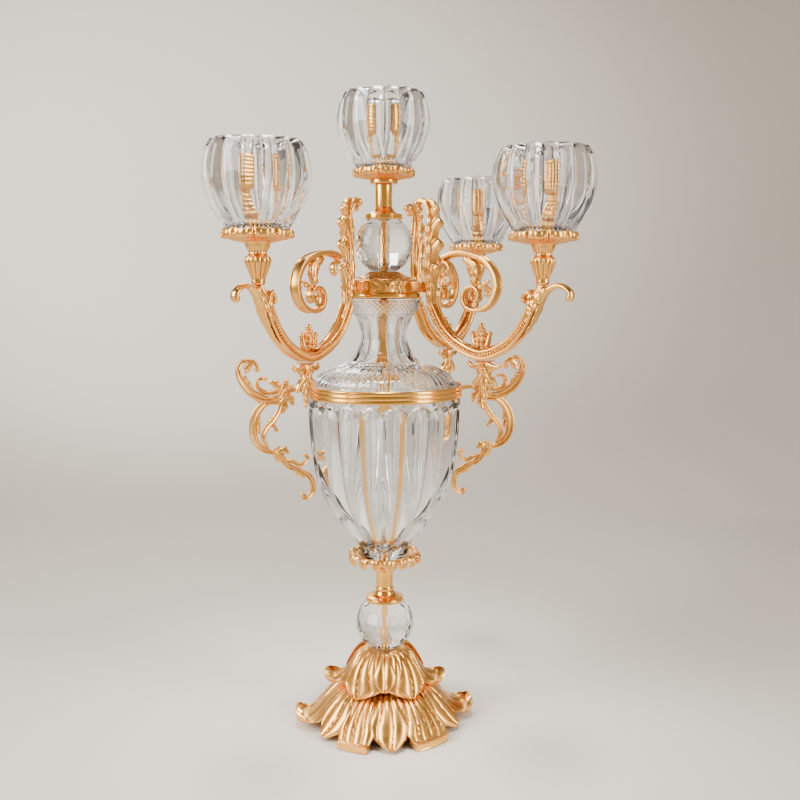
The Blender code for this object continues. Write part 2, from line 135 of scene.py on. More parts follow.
def lens(phase):
    """A circular hump over each whole number of turns, with a plain crease where two meet."""
    x = np.mod(phase, 1.0) * 2 - 1
    edge = 0.82
    low = math.sqrt(1 - edge**2)
    return (np.sqrt(1 - (edge * x)**2) - low) / (1 - low)


# ---------------------------------------------------------------- mesh building

class Shape:
    """The skin of one piece, gathered tube by tube."""

    def __init__(self):
        self.points = []
        self.quads = []
        self.triangles = []
        self.count = 0

    def tube(self, rings, loop=False):
        """Add a skin over rings of points; it closes on itself, or each end gets a cap."""
        rows, columns = rings.shape[:2]
        index = self.count + np.arange(rows * columns).reshape(rows, columns)
        a = index if loop else index[:-1]
        b = np.roll(index, -1, 0) if loop else index[1:]
        quads = np.stack((a, np.roll(a, -1, 1), np.roll(b, -1, 1), b), -1)
        self.quads.append(quads.reshape(-1, 4))
        self.points.append(rings.reshape(-1, 3))
        self.count += rows * columns
        if not loop:
            for row in (0, -1):
                self.points.append(rings[row].mean(0)[None])
                ring = index[row]
                middle = np.full(columns, self.count)
                self.triangles.append(np.stack((ring, np.roll(ring, -1), middle), -1))
                self.count += 1
        return self

    def stalk(self, path, section, sizes, count=40, blunt=(1.5, 1.5)):
        """Add a stalk along a smooth curve, whose sizes go with evenly spaced places along it."""
        return self.tube(sweep(spline(path, count), section, values(sizes, count), blunt))

    def ball(self, centre, radii, around=16, rows=10):
        """Add an ellipsoid."""
        tilt = np.linspace(0.12, math.pi - 0.12, rows)[:, None]
        angle = np.linspace(0, TAU, around, endpoint=False)[None]
        radii = np.broadcast_to(radii, 3)
        unit = np.stack((np.sin(tilt) * np.cos(angle), np.sin(tilt) * np.sin(angle),
                         np.cos(tilt) + 0 * angle), -1)
        return self.tube(unit * radii + np.asarray(centre, float))

    def mesh(self, name, sharp=50.0):
        """The finished mesh, in metres, with its faces outward."""
        mesh = bpy.data.meshes.new(name)
        faces = [row for group in (self.quads, self.triangles) for part in group for row in part.tolist()]
        mesh.from_pydata((np.concatenate(self.points) * MM).tolist(), [], faces)
        bm = bmesh.new()
        bm.from_mesh(mesh)
        bmesh.ops.recalc_face_normals(bm, faces=bm.faces)
        bm.to_mesh(mesh)
        bm.free()
        mesh.shade_smooth()
        mesh.set_sharp_from_angle(angle=math.radians(sharp))
        return mesh


def show(mesh, node, finish, turn=0.0, body="stand", at=(0, 0, 0)):
    """Place a mesh as the visible piece for a CAD node."""
    piece = added(f"{node}_finished", mesh)
    if not mesh.materials:
        mesh.materials.append(finish)
    piece.rotation_euler.z = math.radians(turn)
    piece.location = Vector(at) * MM
    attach(piece, body)
    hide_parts(node)
    return piece


def turned(outline, steps=96, rule=None):
    """Rings about Z through an outline of (radius, height); a rule may move them."""
    outline = np.asarray(outline, float)
    angle = np.linspace(0, TAU, steps, endpoint=False)[None]
    radius = np.repeat(outline[:, :1], steps, 1)
    z = np.repeat(outline[:, 1:], steps, 1)
    if rule:
        radius, z = rule(angle, radius, z)
    return np.stack((radius * np.cos(angle), radius * np.sin(angle), z), -1)


def bored(outline, radius=0.5, steps=72, rule=None):
    """A turned metal piece with eased corners, from a closed outline."""
    return Shape().tube(turned(eased(outline, radius, closed=True), steps, rule), loop=True)


def sides(path):
    """Unit directions along and across a path in the (radius, height) plane."""
    along = np.gradient(path, axis=0)
    along /= np.linalg.norm(along, axis=1)[:, None] + 1e-12
    return along, np.stack((-along[:, 1], along[:, 0]), 1)


def sweep(path, section, scale=1.0, blunt=(1.5, 1.5)):
    """Rings along a path: the section's first value is sideways (Y), its second across the path.

    The scale is one number, one per point of the path, or one pair per point; blunt gives how far
    from each end the rounding starts, 0 for a flat cut.
    """
    section = np.asarray(section, float)
    count = len(path)
    _, across = sides(path)
    scale = np.asarray(scale, float)
    if scale.ndim < 2:
        scale = np.stack((np.broadcast_to(scale, count), np.broadcast_to(scale, count)), 1)
    run = np.r_[0, np.cumsum(np.linalg.norm(np.diff(path, axis=0), axis=1))]
    for reach, length in zip(blunt, (run, run[-1] - run)):
        if reach:
            t = np.clip(length / reach, 0.02, 1)
            scale = scale * np.sqrt(1 - (1 - t)**2)[:, None]
    wide = section[None, :, 0] * scale[:, :1]
    deep = section[None, :, 1] * scale[:, 1:]
    x = path[:, :1] + across[:, :1] * deep
    z = path[:, 1:] + across[:, 1:] * deep
    return np.stack((x, wide, z), -1)


def oval(wide, deep, count=20, flutes=0, depth=0.0, power=1.0):
    """A rounded section, optionally fluted; a power under 1 makes it boxier."""
    angle = np.linspace(0, TAU, count, endpoint=False)
    grow = 1 - depth * (0.5 + 0.5 * np.cos(flutes * angle)) if flutes else 1.0
    c, s = np.cos(angle), np.sin(angle)
    return np.stack((wide * grow * np.sign(c) * abs(c)**power,
                     deep * grow * np.sign(s) * abs(s)**power), 1)


def blade(path, rows, columns):
    """A leaf's middle line, the distance along it, and grids along (0 to 1) and across (-1 to 1) it."""
    fine = spline(path, 4 * rows)
    run = np.r_[0, np.cumsum(np.linalg.norm(np.diff(fine, axis=0), axis=1))]
    return fine, run, np.linspace(0, 1, rows)[:, None], np.linspace(-1, 1, columns)[None]


def along_line(travel, run, line):
    """The values of a line at the distances given."""
    return np.stack([np.interp(travel, run, axis) for axis in line.T], -1)


def faces_of(middle, out, across, top, low):
    """Rings round a leaf, from its two faces' heights over its middle surface."""
    upper, under = (np.stack((middle[..., 0] + out[..., 0] * h, across + 0 * h,
                              middle[..., 1] + out[..., 1] * h), -1) for h in (top, low))
    return np.concatenate((upper, under[:, ::-1]), 1)


def leaf(path, widths, lobes=4, lean=0.7, notch=0.3, rib=0.7, vein=0.8, thick=1.4, rows=56, columns=24,
         lying=None):
    """Rings of an acanthus leaf that grows along a path, with lobed edges and raised veins.

    It stands across the plane of the path, or, where lying gives (sideways, out), it lies in that
    plane: its middle is that far sideways, and both its faces are carved.
    """
    fine, run, u, v = blade(path, rows, columns)
    phase = np.mod(u * lobes, 1.0)
    tooth = 1 - notch * (1 - np.sin(math.pi * phase)**0.55)
    half = values(widths, rows)[:, None] * tooth
    across = half * v
    travel = u * run[-1] * 0.97 + lean * abs(across) * (1 - u)**0.3
    hump = np.sin(math.pi * phase)**2
    height = rib * np.exp(-(v / 0.12)**2) + vein * hump * abs(v)**0.7 * (1 - abs(v))**0.25
    edge = np.clip(half / (0.35 * half.max() + 1e-6), 0.1, 1) * (1 - 0.75 * abs(v)**4)
    along, normal = sides(fine)
    beyond = np.clip(travel - run[-1], 0, None)
    middle = along_line(travel, run, fine) + beyond[..., None] * along[-1]
    out = along_line(travel, run, normal)
    if lying is None:
        return faces_of(middle, out, across, height, height - thick * edge)
    body = np.maximum(height + thick * edge, 0.25)
    flat = middle + out * across[..., None]
    near, far = (np.stack((flat[..., 0], lying + sign * body, flat[..., 1]), -1) for sign in (1, -1))
    return np.concatenate((near, far[:, ::-1]), 1)


def folded_leaf(path, widths, pads=4, deep=3.0, notch=0.2, fan=0.6, hollow=0.0, thick=3.6, bend=0.0,
                blunt=False, rows=62, columns=48):
    """Rings of a heavy cast leaf: rounded pads that fan out from its root, with creases between them.

    The creases leave through the sides and notch them; hollow raises the sides near the tip, and bend
    sways the creases. The tip is rounded unless it is blunt.
    """
    fine, run, u, v = blade(path, rows, columns)
    opened = 1 - fan * u**1.6
    bite = notch * ramp(u, 0.1, 0.3) * (1 - arc(0.5 * pads * (1 + opened)))
    half = values(widths, rows)[:, None] * (1 - bite)
    if not blunt:
        half = half * np.sqrt(1 - np.clip((u - 0.84) / 0.16, 0, 0.96)**2)
    across = half * v
    travel = u * (run[-1] - 0.22 * abs(across) * u) + 0.35 * abs(across) * (1 - u)
    pad = arc(0.5 * pads * (1 + opened * v) + bend * np.sin(math.pi * u))
    grow = ramp(u, 0.0, 0.2)
    height = (deep * grow * (pad - 0.75) + hollow * ramp(u, 0.55, 1.0) * v**2
              - 0.6 * (1 - ramp(u, 0.9, 1.0)) * v**2)
    edge = np.sqrt(np.clip(1 - abs(v)**5, 0.02, 1)) * np.sqrt(1 - 0.75 * ramp(u, 0.93, 1.0))
    _, normal = sides(fine)
    top = height - 0.5 * thick * (1 - edge)
    return faces_of(along_line(travel, run, fine), along_line(travel, run, normal), across, top,
                    top - thick * edge)


def wrapped(rings, turn=0.0):
    """Bend rings made along +X round the Z axis, and turn them to an azimuth in degrees."""
    angle = rings[..., 1] / np.maximum(rings[..., 0], 4.0) + math.radians(turn)
    return np.stack((rings[..., 0] * np.cos(angle), rings[..., 0] * np.sin(angle), rings[..., 2]), -1)


def beads(shape, path, sideways, across, radius, spacing):
    """A row of small beads beside a path."""
    run = np.linalg.norm(np.diff(path, axis=0), axis=1).sum()
    spots = even(path, max(2, round(run / spacing)))
    _, normal = sides(spots)
    for spot, out in zip(spots, normal):
        x, z = spot + out * across
        shape.ball((x, sideways, z), radius, 8, 5)


# ---------------------------------------------------------------- materials

def principled(name, colour, roughness, metallic=0.0):
    """A new material and its shader, with plain starting values."""
    made = bpy.data.materials.new(name)
    made.use_nodes = True
    shader = made.node_tree.nodes["Principled BSDF"]
    shader.inputs["Base Color"].default_value = (*colour, 1.0)
    shader.inputs["Roughness"].default_value = roughness
    shader.inputs["Metallic"].default_value = metallic
    made.diffuse_color = (*colour, 1.0)
    return made, made.node_tree.nodes, made.node_tree.links, shader


def noise(nodes, links, scale, detail=3.0, stretch=None):
    """A noise texture in the piece's own coordinates; returns its value socket."""
    place = nodes.new("ShaderNodeTexCoord").outputs["Object"]
    if stretch:
        mapping = nodes.new("ShaderNodeMapping")
        mapping.inputs["Scale"].default_value = stretch
        links.new(place, mapping.inputs["Vector"])
        place = mapping.outputs["Vector"]
    texture = nodes.new("ShaderNodeTexNoise")
    texture.inputs["Scale"].default_value = scale
    texture.inputs["Detail"].default_value = detail
    links.new(place, texture.inputs["Vector"])
    return texture.outputs["Fac"]


def spread(nodes, links, value, low, high, start=0.3, end=0.7):
    """Map a texture's value to a range."""
    mapped = nodes.new("ShaderNodeMapRange")
    for socket, number in (("From Min", start), ("From Max", end), ("To Min", low), ("To Max", high)):
        mapped.inputs[socket].default_value = number
    links.new(value, mapped.inputs["Value"])
    return mapped.outputs["Result"]


def two_tone(nodes, links, shader, factor, first, second):
    """Colour a shader between two colours, by a texture's value."""
    mix = nodes.new("ShaderNodeMix")
    mix.data_type = "RGBA"
    mix.inputs["A"].default_value = (*first, 1.0)
    mix.inputs["B"].default_value = (*second, 1.0)
    links.new(factor, mix.inputs["Factor"])
    links.new(mix.outputs["Result"], shader.inputs["Base Color"])


def bumps(nodes, links, shader, layers):
    """Stack bump layers of (value, strength, distance in metres) on a shader."""
    normal = None
    for value, strength, distance in layers:
        bump = nodes.new("ShaderNodeBump")
        bump.inputs["Strength"].default_value = strength
        bump.inputs["Distance"].default_value = distance
        links.new(value, bump.inputs["Height"])
        if normal:
            links.new(normal, bump.inputs["Normal"])
        normal = bump.outputs["Normal"]
    links.new(normal, shader.inputs["Normal"])


def gilt(name, light, deep, rough, grain, hollow=True):
    """Gilt brass with cloudy polish and a fine grain. Where hollow is set it carries painted shade: darker
    and redder in its hollows, by the mesh's pointiness; otherwise its tone varies at random.
    """
    made, nodes, links, shader = principled(name, light, rough[0], 1.0)
    cloud = noise(nodes, links, 45.0, 4.0)
    # Painted shade: low pointiness in the hollows picks the deep colour, so recesses are painted darker and
    # flats and ridges lighter.
    if hollow:
        painted_shade_pointiness = nodes.new("ShaderNodeNewGeometry").outputs["Pointiness"]
        factor = spread(nodes, links, painted_shade_pointiness, 0.0, 1.0, 0.44, 0.52)
    else:
        factor = spread(nodes, links, cloud, 0.55, 1.0)
    two_tone(nodes, links, shader, factor, deep, light)
    links.new(spread(nodes, links, cloud, *rough), shader.inputs["Roughness"])
    fine = noise(nodes, links, 900.0, 2.0)
    broad = noise(nodes, links, 160.0, 3.0)
    bumps(nodes, links, shader, [(fine, grain, 0.0002), (broad, 0.6 * grain, 0.0008)])
    return made


def crystal(name, colour, ripple, ior=1.52):
    """Clear lead crystal with the faint ripple of pressed or cut glass."""
    made, nodes, links, shader = principled(name, colour, 0.02)
    shader.inputs["Transmission Weight"].default_value = 1.0
    shader.inputs["IOR"].default_value = ior
    wave = noise(nodes, links, 70.0, 2.0, (1.0, 1.0, 0.35))
    haze = noise(nodes, links, 500.0, 2.0)
    links.new(spread(nodes, links, haze, 0.0, 0.04), shader.inputs["Roughness"])
    bumps(nodes, links, shader, [(wave, ripple, 0.001)])
    return made


# The second colour of the leaf and arm golds is painted shade for their hollows; the polished gold's second
# colour is only a random tone.
LEAF_GOLD = gilt("cast_leaf_gold", (0.97, 0.51, 0.125), (0.64, 0.27, 0.05), (0.22, 0.36), 0.20)
ARM_GOLD = gilt("gilt_scrollwork", (0.97, 0.51, 0.125), (0.60, 0.255, 0.045), (0.18, 0.32), 0.14)
POLISHED_GOLD = gilt("polished_gilt", (0.97, 0.51, 0.105), (0.90, 0.42, 0.07), (0.13, 0.22), 0.03, False)
URN_CRYSTAL = crystal("urn_cut_crystal", (0.985, 0.99, 0.995), 0.12)
SHADE_CRYSTAL = crystal("shade_pressed_crystal", (0.985, 0.99, 1.0), 0.10, 1.5)


def plain_finishes():
    """Steel, rubber and felt, for the pieces that mostly hide inside; the felt is near black, as painted
    shade in the gaps between the base's leaves.
    """
    steel, nodes, links, shader = principled("brushed_steel", (0.56, 0.57, 0.59), 0.35, 1.0)
    brushed = noise(nodes, links, 300.0, 3.0, (1.0, 1.0, 0.05))
    links.new(spread(nodes, links, brushed, 0.25, 0.45), shader.inputs["Roughness"])
    bumps(nodes, links, shader, [(brushed, 0.1, 0.0002)])
    rubber, nodes, links, shader = principled("milky_rubber", (0.74, 0.74, 0.71), 0.5)
    skin = noise(nodes, links, 400.0)
    links.new(spread(nodes, links, skin, 0.4, 0.6), shader.inputs["Roughness"])
    bumps(nodes, links, shader, [(skin, 0.1, 0.0002)])
    # Painted shade: the felt pad is coloured near black so that where it shows between the base's leaves it
    # reads as shadow.
    felt, nodes, links, shader = principled("felt_dark_as_painted_shade", (0.06, 0.045, 0.035), 0.95)
    shader.inputs["Sheen Weight"].default_value = 0.6
    fibre = noise(nodes, links, 1500.0, 4.0)
    two_tone(nodes, links, shader, fibre, (0.035, 0.026, 0.02), (0.10, 0.075, 0.055))
    bumps(nodes, links, shader, [(fibre, 0.5, 0.0005)])
    return steel, rubber, felt


STEEL, RUBBER, FELT_DARK_AS_PAINTED_SHADE = plain_finishes()


def refinish(node, finish):
    """Give a CAD node that stays visible its material."""
    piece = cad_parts[node]
    for place in piece.material_slots:
        place.material = finish


# ---------------------------------------------------------------- base

def lower_leaves():
    """The wide lower tier: fourteen folded leaves over a ribbed skirt."""
    shape = Shape()

    def folds(angle, radius, z):
        deep = ramp(radius, 34, 60)
        wave = np.cos(14 * (angle - math.radians(BASE_FRONT)))
        return radius * (1 + 0.035 * deep * wave), z - 2.0 * deep * (1 - wave)

    skirt = [(BORE, 46.6), (36, 45.6), (52, 37.5), (64, 26), (72, 14), (70, 11),
             (62, 20), (50, 31), (14, 40), (BORE, 40)]
    shape.tube(turned(eased(skirt, 4, closed=True), 168, folds), loop=True)
    foot = [(28, 47), (44, 45.5), (58, 38.5), (70, 27.5), (80, 15.5), (87, 7.5), (92, 3.4)]
    block = [(28, 47), (45, 45.5), (60, 38), (72, 28), (82, 18), (88, 11.5), (92.5, 9)]
    curled = [(28, 47), (44, 45), (59, 37), (71, 26), (81, 16), (90, 10.5), (98, 10.5), (102.6, 16),
              (101.5, 23.5)]
    plan = ((-81, curled, (9, 12, 17, 21, 24, 26, 25, 23, 19), 3, 6.0, 0.25),
            (-51, foot, (9, 13, 19, 23, 24, 23, 16), 4, 0, -0.3),
            (-24, block, (9, 13, 18, 22, 23, 22, 20), 4, 0, 0.3),
            (5, foot, (9, 13, 19, 23, 25, 24, 17), 4, 0, -0.25),
            (37, block, (9, 13, 19, 24, 26, 27, 25), 5, 0, -0.4),
            (69, foot, (9, 13, 19, 23, 24, 22, 16), 4, 0, 0.3),
            (96, curled, (9, 12, 17, 21, 23, 24, 23, 21, 17), 3, 6.0, 0.25))
    for half_turn in (0, 180):
        for order, (place, path, widths, pads, hollow, bend) in enumerate(plan):
            turn = BASE_FRONT + half_turn + place
            raised = np.array(path, float) + (0, 2.4 * (order % 2))
            blunt = path is block
            fan = 0.1 if blunt else 0.55
            carved = folded_leaf(raised, widths, pads, fan=fan, hollow=hollow, bend=bend, blunt=blunt)
            shape.tube(wrapped(carved, turn))
            if blunt:
                under = sweep(np.array(((80, 7.6), (86, 6.0), (92.4, 5.0))),
                              oval(widths[-1] - 1.5, 4.4, 24, power=0.3), blunt=(0, 0))
                shape.tube(wrapped(under, turn))
    show(shape.mesh("lower_leaves"), "base_lower_leaves", LEAF_GOLD)


def upper_leaves():
    """The bell of leaves under the lower ball: four broad ones, two narrow, two curled up."""
    shape = Shape()

    def folds(angle, radius, z):
        wave = np.cos(8 * (angle - math.radians(BASE_FRONT)))
        return radius * (1 + 0.03 * ramp(radius, 30, 50) * wave), z

    bell = [(BORE, 86.5), (14, 86.5), (23, 87.5), (31, 81), (40, 67), (47, 51),
            (43, 50), (36, 66), (26, 77), (14, 77), (13, 47.8), (BORE, 47.8)]
    shape.tube(turned(eased(bell, 3, closed=True), 128, folds), loop=True)
    broad = [(16, 87.6), (25, 90), (35, 86), (43.5, 77), (49.5, 66), (53.6, 56), (56.4, 49.0), (58.6, 45.2)]
    narrow = [(20, 87.5), (30, 88), (40, 82), (48, 72), (53, 62), (56, 55.5)]
    curled = [(20, 87.5), (31, 82.5), (40, 69.5), (47, 58.5), (54, 53), (61, 51.5), (66.5, 55), (68.5, 62)]
    wide = (8, 15, 21, 26, 28, 29, 28, 26)
    plan = ((-34, broad, wide, 4, 0, 0.3), (34, broad, wide, 4, 0, -0.3),
            (0, narrow, (4, 8, 12, 14, 13, 9), 2, 0, 0),
            (-92, curled, (7, 13, 18, 21, 22, 22, 20, 16), 3, 6.0, 0.2))
    for half_turn in (0, 180):
        for place, path, widths, pads, hollow, bend in plan:
            fan = 0.2 if path is broad else 0.5
            carved = folded_leaf(path, widths, pads, 3.0, 0.1, fan, hollow, 4.4, bend)
            shape.tube(wrapped(carved, BASE_FRONT + half_turn + place))
    show(shape.mesh("upper_leaves"), "base_upper_leaves", LEAF_GOLD)


# ---------------------------------------------------------------- column, balls and fittings

UPPER_BALL_SEAT = 27.0       # from the upper ball's middle to the flat on its top
FACET_EDGE = 0.28            # width of the soft line between two facets


def cut_ball(node, radius, around, rows):
    """A bored crystal ball of flat facets, staggered like bricks and cut flat where it seats."""
    low, high = corners(node)
    middle = (low.z + high.z) / 2
    if node == "upper_ball":
        middle = high.z - UPPER_BALL_SEAT
    bm = bmesh.new()
    for row in range(rows):
        tilt = math.pi * ((row + 0.5) / rows - 0.5)
        for step in range(around):
            angle = TAU * (step + 0.5 * (row % 2)) / around
            level = math.cos(tilt)
            bm.verts.new((level * math.cos(angle), level * math.sin(angle), math.sin(tilt)))
    bm.verts.new((0, 0, radius / (high.z - middle)))
    bm.verts.new((0, 0, -radius / (middle - low.z)))
    bmesh.ops.convex_hull(bm, input=bm.verts)
    bm.normal_update()
    corner = {}
    points = []
    for face in bm.faces:
        normal = face.normal
        distance = normal.dot(face.verts[0].co)
        corner[face] = len(points)
        points.append(Vector((0, 0, middle)) * MM + normal * (radius * MM / distance))
    facets = []
    for vert in bm.verts:
        ring = list(vert.link_faces)
        if len(ring) < 3:
            continue
        axis = vert.co.normalized()
        first = axis.orthogonal().normalized()
        second = axis.cross(first)
        ring.sort(key=lambda f: math.atan2(f.normal.dot(second), f.normal.dot(first)))
        facets.append([corner[face] for face in ring])
    bm.free()
    solid = bpy.data.meshes.new("ball")
    solid.from_pydata(points, [], facets)
    bm = bmesh.new()
    bm.from_mesh(solid)
    bmesh.ops.remove_doubles(bm, verts=bm.verts, dist=0.00002)
    bmesh.ops.recalc_face_normals(bm, faces=bm.faces)
    bmesh.ops.bevel(bm, geom=bm.edges, offset=FACET_EDGE * MM, segments=1, affect="EDGES",
                    clamp_overlap=True)
    bm.to_mesh(solid)
    bm.free()
    drill = turned([(BORE, high.z + 5), (BORE, low.z - 5)], 48)
    ball = added("ball", solid)
    cutter = added("drill", Shape().tube(drill).mesh("drill"))
    cut = ball.modifiers.new("Bore", "BOOLEAN")
    cut.operation = "DIFFERENCE"
    cut.object = cutter
    bpy.context.view_layer.update()
    graph = bpy.context.evaluated_depsgraph_get()
    mesh = bpy.data.meshes.new_from_object(ball.evaluated_get(graph))
    for part in (ball, cutter):
        bpy.data.objects.remove(part)
    mesh.materials.clear()
    mesh.shade_smooth()
    mesh.set_sharp_from_angle(angle=math.radians(3))
    show(mesh, node, URN_CRYSTAL)


def fittings():
    """The turned, polished rings and tubes on the centre rod."""
    outlines = {
        "lower_bell": ([(BORE, 156.8), (10.6, 156.8), (12, 153), (16, 150.6), (21.5, 149.6), (22, 144.7),
                        (21, 144.9), (17.5, 147.3), (13.6, 149.4), (BORE, 149.4)], 0.9),
        "lower_tube": ([(BORE, 182), (10.4, 182), (10.4, 179), (9.6, 177.6), (9.6, 161.6), (10.4, 160.2),
                        (10.4, 157.1), (BORE, 157.1)], 0.6),
        "cup_ring": ([(BORE, 187.2), (13.5, 187.2), (14.9, 185.8), (14.9, 183.7), (13.5, 182.3),
                      (BORE, 182.3)], 0.7),
        "top_disc": ([(BORE, 594.8), (9.6, 594.8), (12.5, 591), (16.5, 588.2), (20.9, 587.7), (20.9, 582.1),
                      (BORE, 582.1)], 0.7),
        "top_tube": ([(BORE, 620.1), (9.5, 620.1), (9.5, 595.1), (BORE, 595.1)], 0.5),
        "top_flange": ([(BORE, 628.4), (11.5, 628.4), (12.2, 626.0), (15.5, 624.9), (15.5, 621.2),
                        (14.7, 620.4), (BORE, 620.4)], 0.6),
        "neck_collar": ([(BORE, 501.2), (40.6, 501.2), (41.3, 499.4), (41.3, 496.6), (39.6, 495),
                         (BORE, 495)], 0.9),
    }
    for node, (outline, radius) in outlines.items():
        show(bored(outline, radius).mesh(node), node, POLISHED_GOLD)
    sleeve = [(14, 493.5), (13, 490), (7, 486), (5.8, 478), (5.8, 430), (9, 428.5),
              (9, 425.5), (5.8, 424), (5.8, 216), (BORE, 216), (BORE, 493.5)]
    show(bored(sleeve, 0.8, 48).mesh("rod_sleeve"), "rod_sleeve", POLISHED_GOLD)
    low, high = corners("tie_rod")
    rod = [(3.4, high.z), (4, high.z - 0.8), (4, low.z + 0.8), (3.4, low.z)]
    show(Shape().tube(turned(rod, 40)).mesh("tie_rod"), "tie_rod", POLISHED_GOLD)


def leaf_cup():
    """The cup of sixteen curled leaves that carries the urn."""
    shape = Shape()
    bowl = [(BORE, 191.5), (18, 192), (26, 196.6), (31, 201.5), (33, 201), (30, 195.5), (22, 190.6),
            (13, 187.5), (BORE, 187.5)]
    shape.tube(turned(eased(bowl, 1.2, closed=True), 96), loop=True)
    path = [(13, 188.0), (21, 190.2), (29, 195.4), (35, 201), (39.2, 202.4), (41.3, 198.5), (40.8, 192)]
    for step in range(16):
        reach = np.array(path) + ((0, 0) if step % 2 else (-1.5, -1.2))
        carved = leaf(reach, (3, 5, 7, 8.6, 9.2, 8.2, 4), notch=0.26, rib=-1.1, vein=-0.8, thick=-1.8,
                      rows=48, columns=22)
        shape.tube(wrapped(carved, 22.5 * step))
        shape.ball(wrapped(np.array((reach[-1, 0] - 1.5, 0, reach[-1, 1] + 0.8)), 22.5 * step), 2.2)
    show(shape.mesh("leaf_cup"), "leaf_cup", ARM_GOLD)


# ---------------------------------------------------------------- urn

FLUTES = 20


def urn_body():
    """The crystal body, cut with arch-topped flutes that narrow to its foot."""
    outer = spline([(86.4, 391), (86.3, 368), (84.4, 337), (79.8, 300), (73, 275), (60.2, 250.6),
                    (50.1, 235), (35.8, 219), (28.6, 210)], 140)
    foot = eased([(28.6, 210), (28.2, 203), (18, 193.2), (BORE, 193.2), (BORE, 214), (14, 215)], 1.5)
    inner = spline([(14, 215), (28, 224), (49, 252), (62, 276), (70, 300), (75.5, 337), (77.5, 368),
                    (80, 391)], 50)
    outline = np.concatenate((outer, foot[1:-1], inner))
    cut = np.zeros(len(outline))
    cut[:len(outer)] = 1

    def flutes(angle, radius, z):
        x = np.mod(angle * FLUTES / TAU, 1.0) * 2 - 1
        arch = np.clip((z - 365) / 14, 0, None)
        off = x**2 + arch**2
        pillow = np.where(off < 1, off, np.clip((1.5 - off) / 0.5, 0, 1))
        depth = 4.8 * ramp(z, 192, 262) * cut[:, None]
        return radius - depth * pillow, z

    shape = Shape().tube(turned(outline, FLUTES * 24, flutes), loop=True)
    show(shape.mesh("urn_body", 30), "urn_body", URN_CRYSTAL)


def urn_band():
    """The brass band with its three rounded ridges."""
    profile = [(87, 399)]
    for low in (394.4, 389.8, 385.2):
        profile += [(88.0, low + 4.4), (88.8, low + 3.4), (88.8, low + 1.2), (88.0, low + 0.2)]
    profile += [(87, 385), (87, 392.4), (80, 392.4), (80, 393.4), (87, 393.4)]
    shape = Shape().tube(turned(eased(profile, 0.5, closed=True), 240), loop=True)
    show(shape.mesh("urn_band"), "urn_band", POLISHED_GOLD)


def urn_neck():
    """The crystal shoulder and neck: petals below, flutes above, a diamond-cut lip."""
    throat = spline([(41.4, 493.8), (38.5, 483), (30, 471), (26, 452), (30, 437), (38, 425.5)], 110)
    shoulder = spline([(38, 425.5), (48, 421), (62, 417), (74, 411), (80, 403), (83, 399), (84, 394.6)], 70)
    outer = np.concatenate((throat[:-1], shoulder))
    inner = spline([(77, 394.6), (76, 400), (60, 412), (34, 421), (25.5, 436), (21.5, 452),
                    (25.5, 471), (34, 483), (36.5, 493.8)], 60)
    outline = np.concatenate((outer, inner))
    cut = np.zeros(len(outline))
    cut[1:len(outer) - 1] = 1

    def cuts(angle, radius, z):
        weight = cut[:, None]
        turns = angle / TAU
        lip = ramp(z, 474, 480) * (1 - ramp(z, 491.5, 493))
        step = z / 5.2
        diamond = abs(np.mod(turns * 44 + step, 1) - 0.5) + abs(np.mod(turns * 44 - step, 1) - 0.5)
        flute = ramp(z, 421, 430) * (1 - ramp(z, 470, 478))
        petal = ramp(radius, 36, 46) * (1 - ramp(radius, 81, 83.5)) * (1 - ramp(z, 424, 428))
        reach = (radius - 36) / 48
        scallop = arc(turns * 16 + 0.5) * np.clip(1.3 - reach, 0, 1)
        spray = 0.5 + 0.5 * np.cos(TAU * (turns * 64 + 0.6 * reach))
        radius = radius - weight * (1.3 * lip * diamond + 1.9 * flute * (1 - arc(turns * 16)))
        z = z - weight * petal * (2.2 * (1 - scallop) + 0.7 * spray)
        return radius, z

    shape = Shape().tube(turned(outline, 352, cuts), loop=True)
    show(shape.mesh("urn_neck", 30), "urn_neck", URN_CRYSTAL)


# ---------------------------------------------------------------- hub

HUB_R = 41
HUB_Z = 508          # the height of its middle


def arm_hub():
    """The chased ring with a lug for each arm, and a rosette midway between two arms."""
    shape = Shape()

    def chased(angle, radius, z):
        up = z - HUB_Z
        side = ramp(radius, HUB_R - 1, HUB_R) * ramp(6.6 - abs(up), 0, 1.2)
        along = HUB_R * (angle % (math.pi / 2) - math.pi / 4)
        reach = np.hypot(along, up)
        rosette = np.exp(-(reach / 4.2) ** 2) * (1 + 0.45 * np.cos(5 * np.arctan2(up, along)))
        veins = 0.7 * abs(along) - 0.55 * abs(up) + 1.2 * np.sin(0.45 * along)
        sprig = ramp(reach, 4, 7) * np.cos(veins)
        return radius + side * (1.5 * rosette + 0.38 * sprig - 0.3), z

    wall = [(41.2, 514.5 - 0.35 * k) for k in range(38)]
    ring = [(BORE, 514.5), (39.5, 514.5), *wall, (39.8, 501.5), (BORE, 501.5)]
    shape.tube(turned(ring, 384, chased), loop=True)
    low, high = corners("arm_hub")
    middle, half = (low.z + high.z) / 2, (high.z - low.z) / 2
    path = even(((36, middle), (57.6, middle)), 24)
    waist = 1 - 0.16 * np.sin(np.linspace(0, math.pi, 24))
    scale = np.stack((waist, 1 - 0.10 * np.sin(np.linspace(0, math.pi, 24))), 1)
    for degrees in ARMS.values():
        lug = sweep(path, oval(7.4, half - 0.3, 40, power=0.28), scale, blunt=(0, 0.8))
        cos, sin = math.cos(math.radians(degrees)), math.sin(math.radians(degrees))
        x, y, z = np.moveaxis(lug, -1, 0)
        shape.tube(np.stack((x * cos - y * sin, x * sin + y * cos, z), -1))
    show(shape.mesh("arm_hub"), "arm_hub", ARM_GOLD)


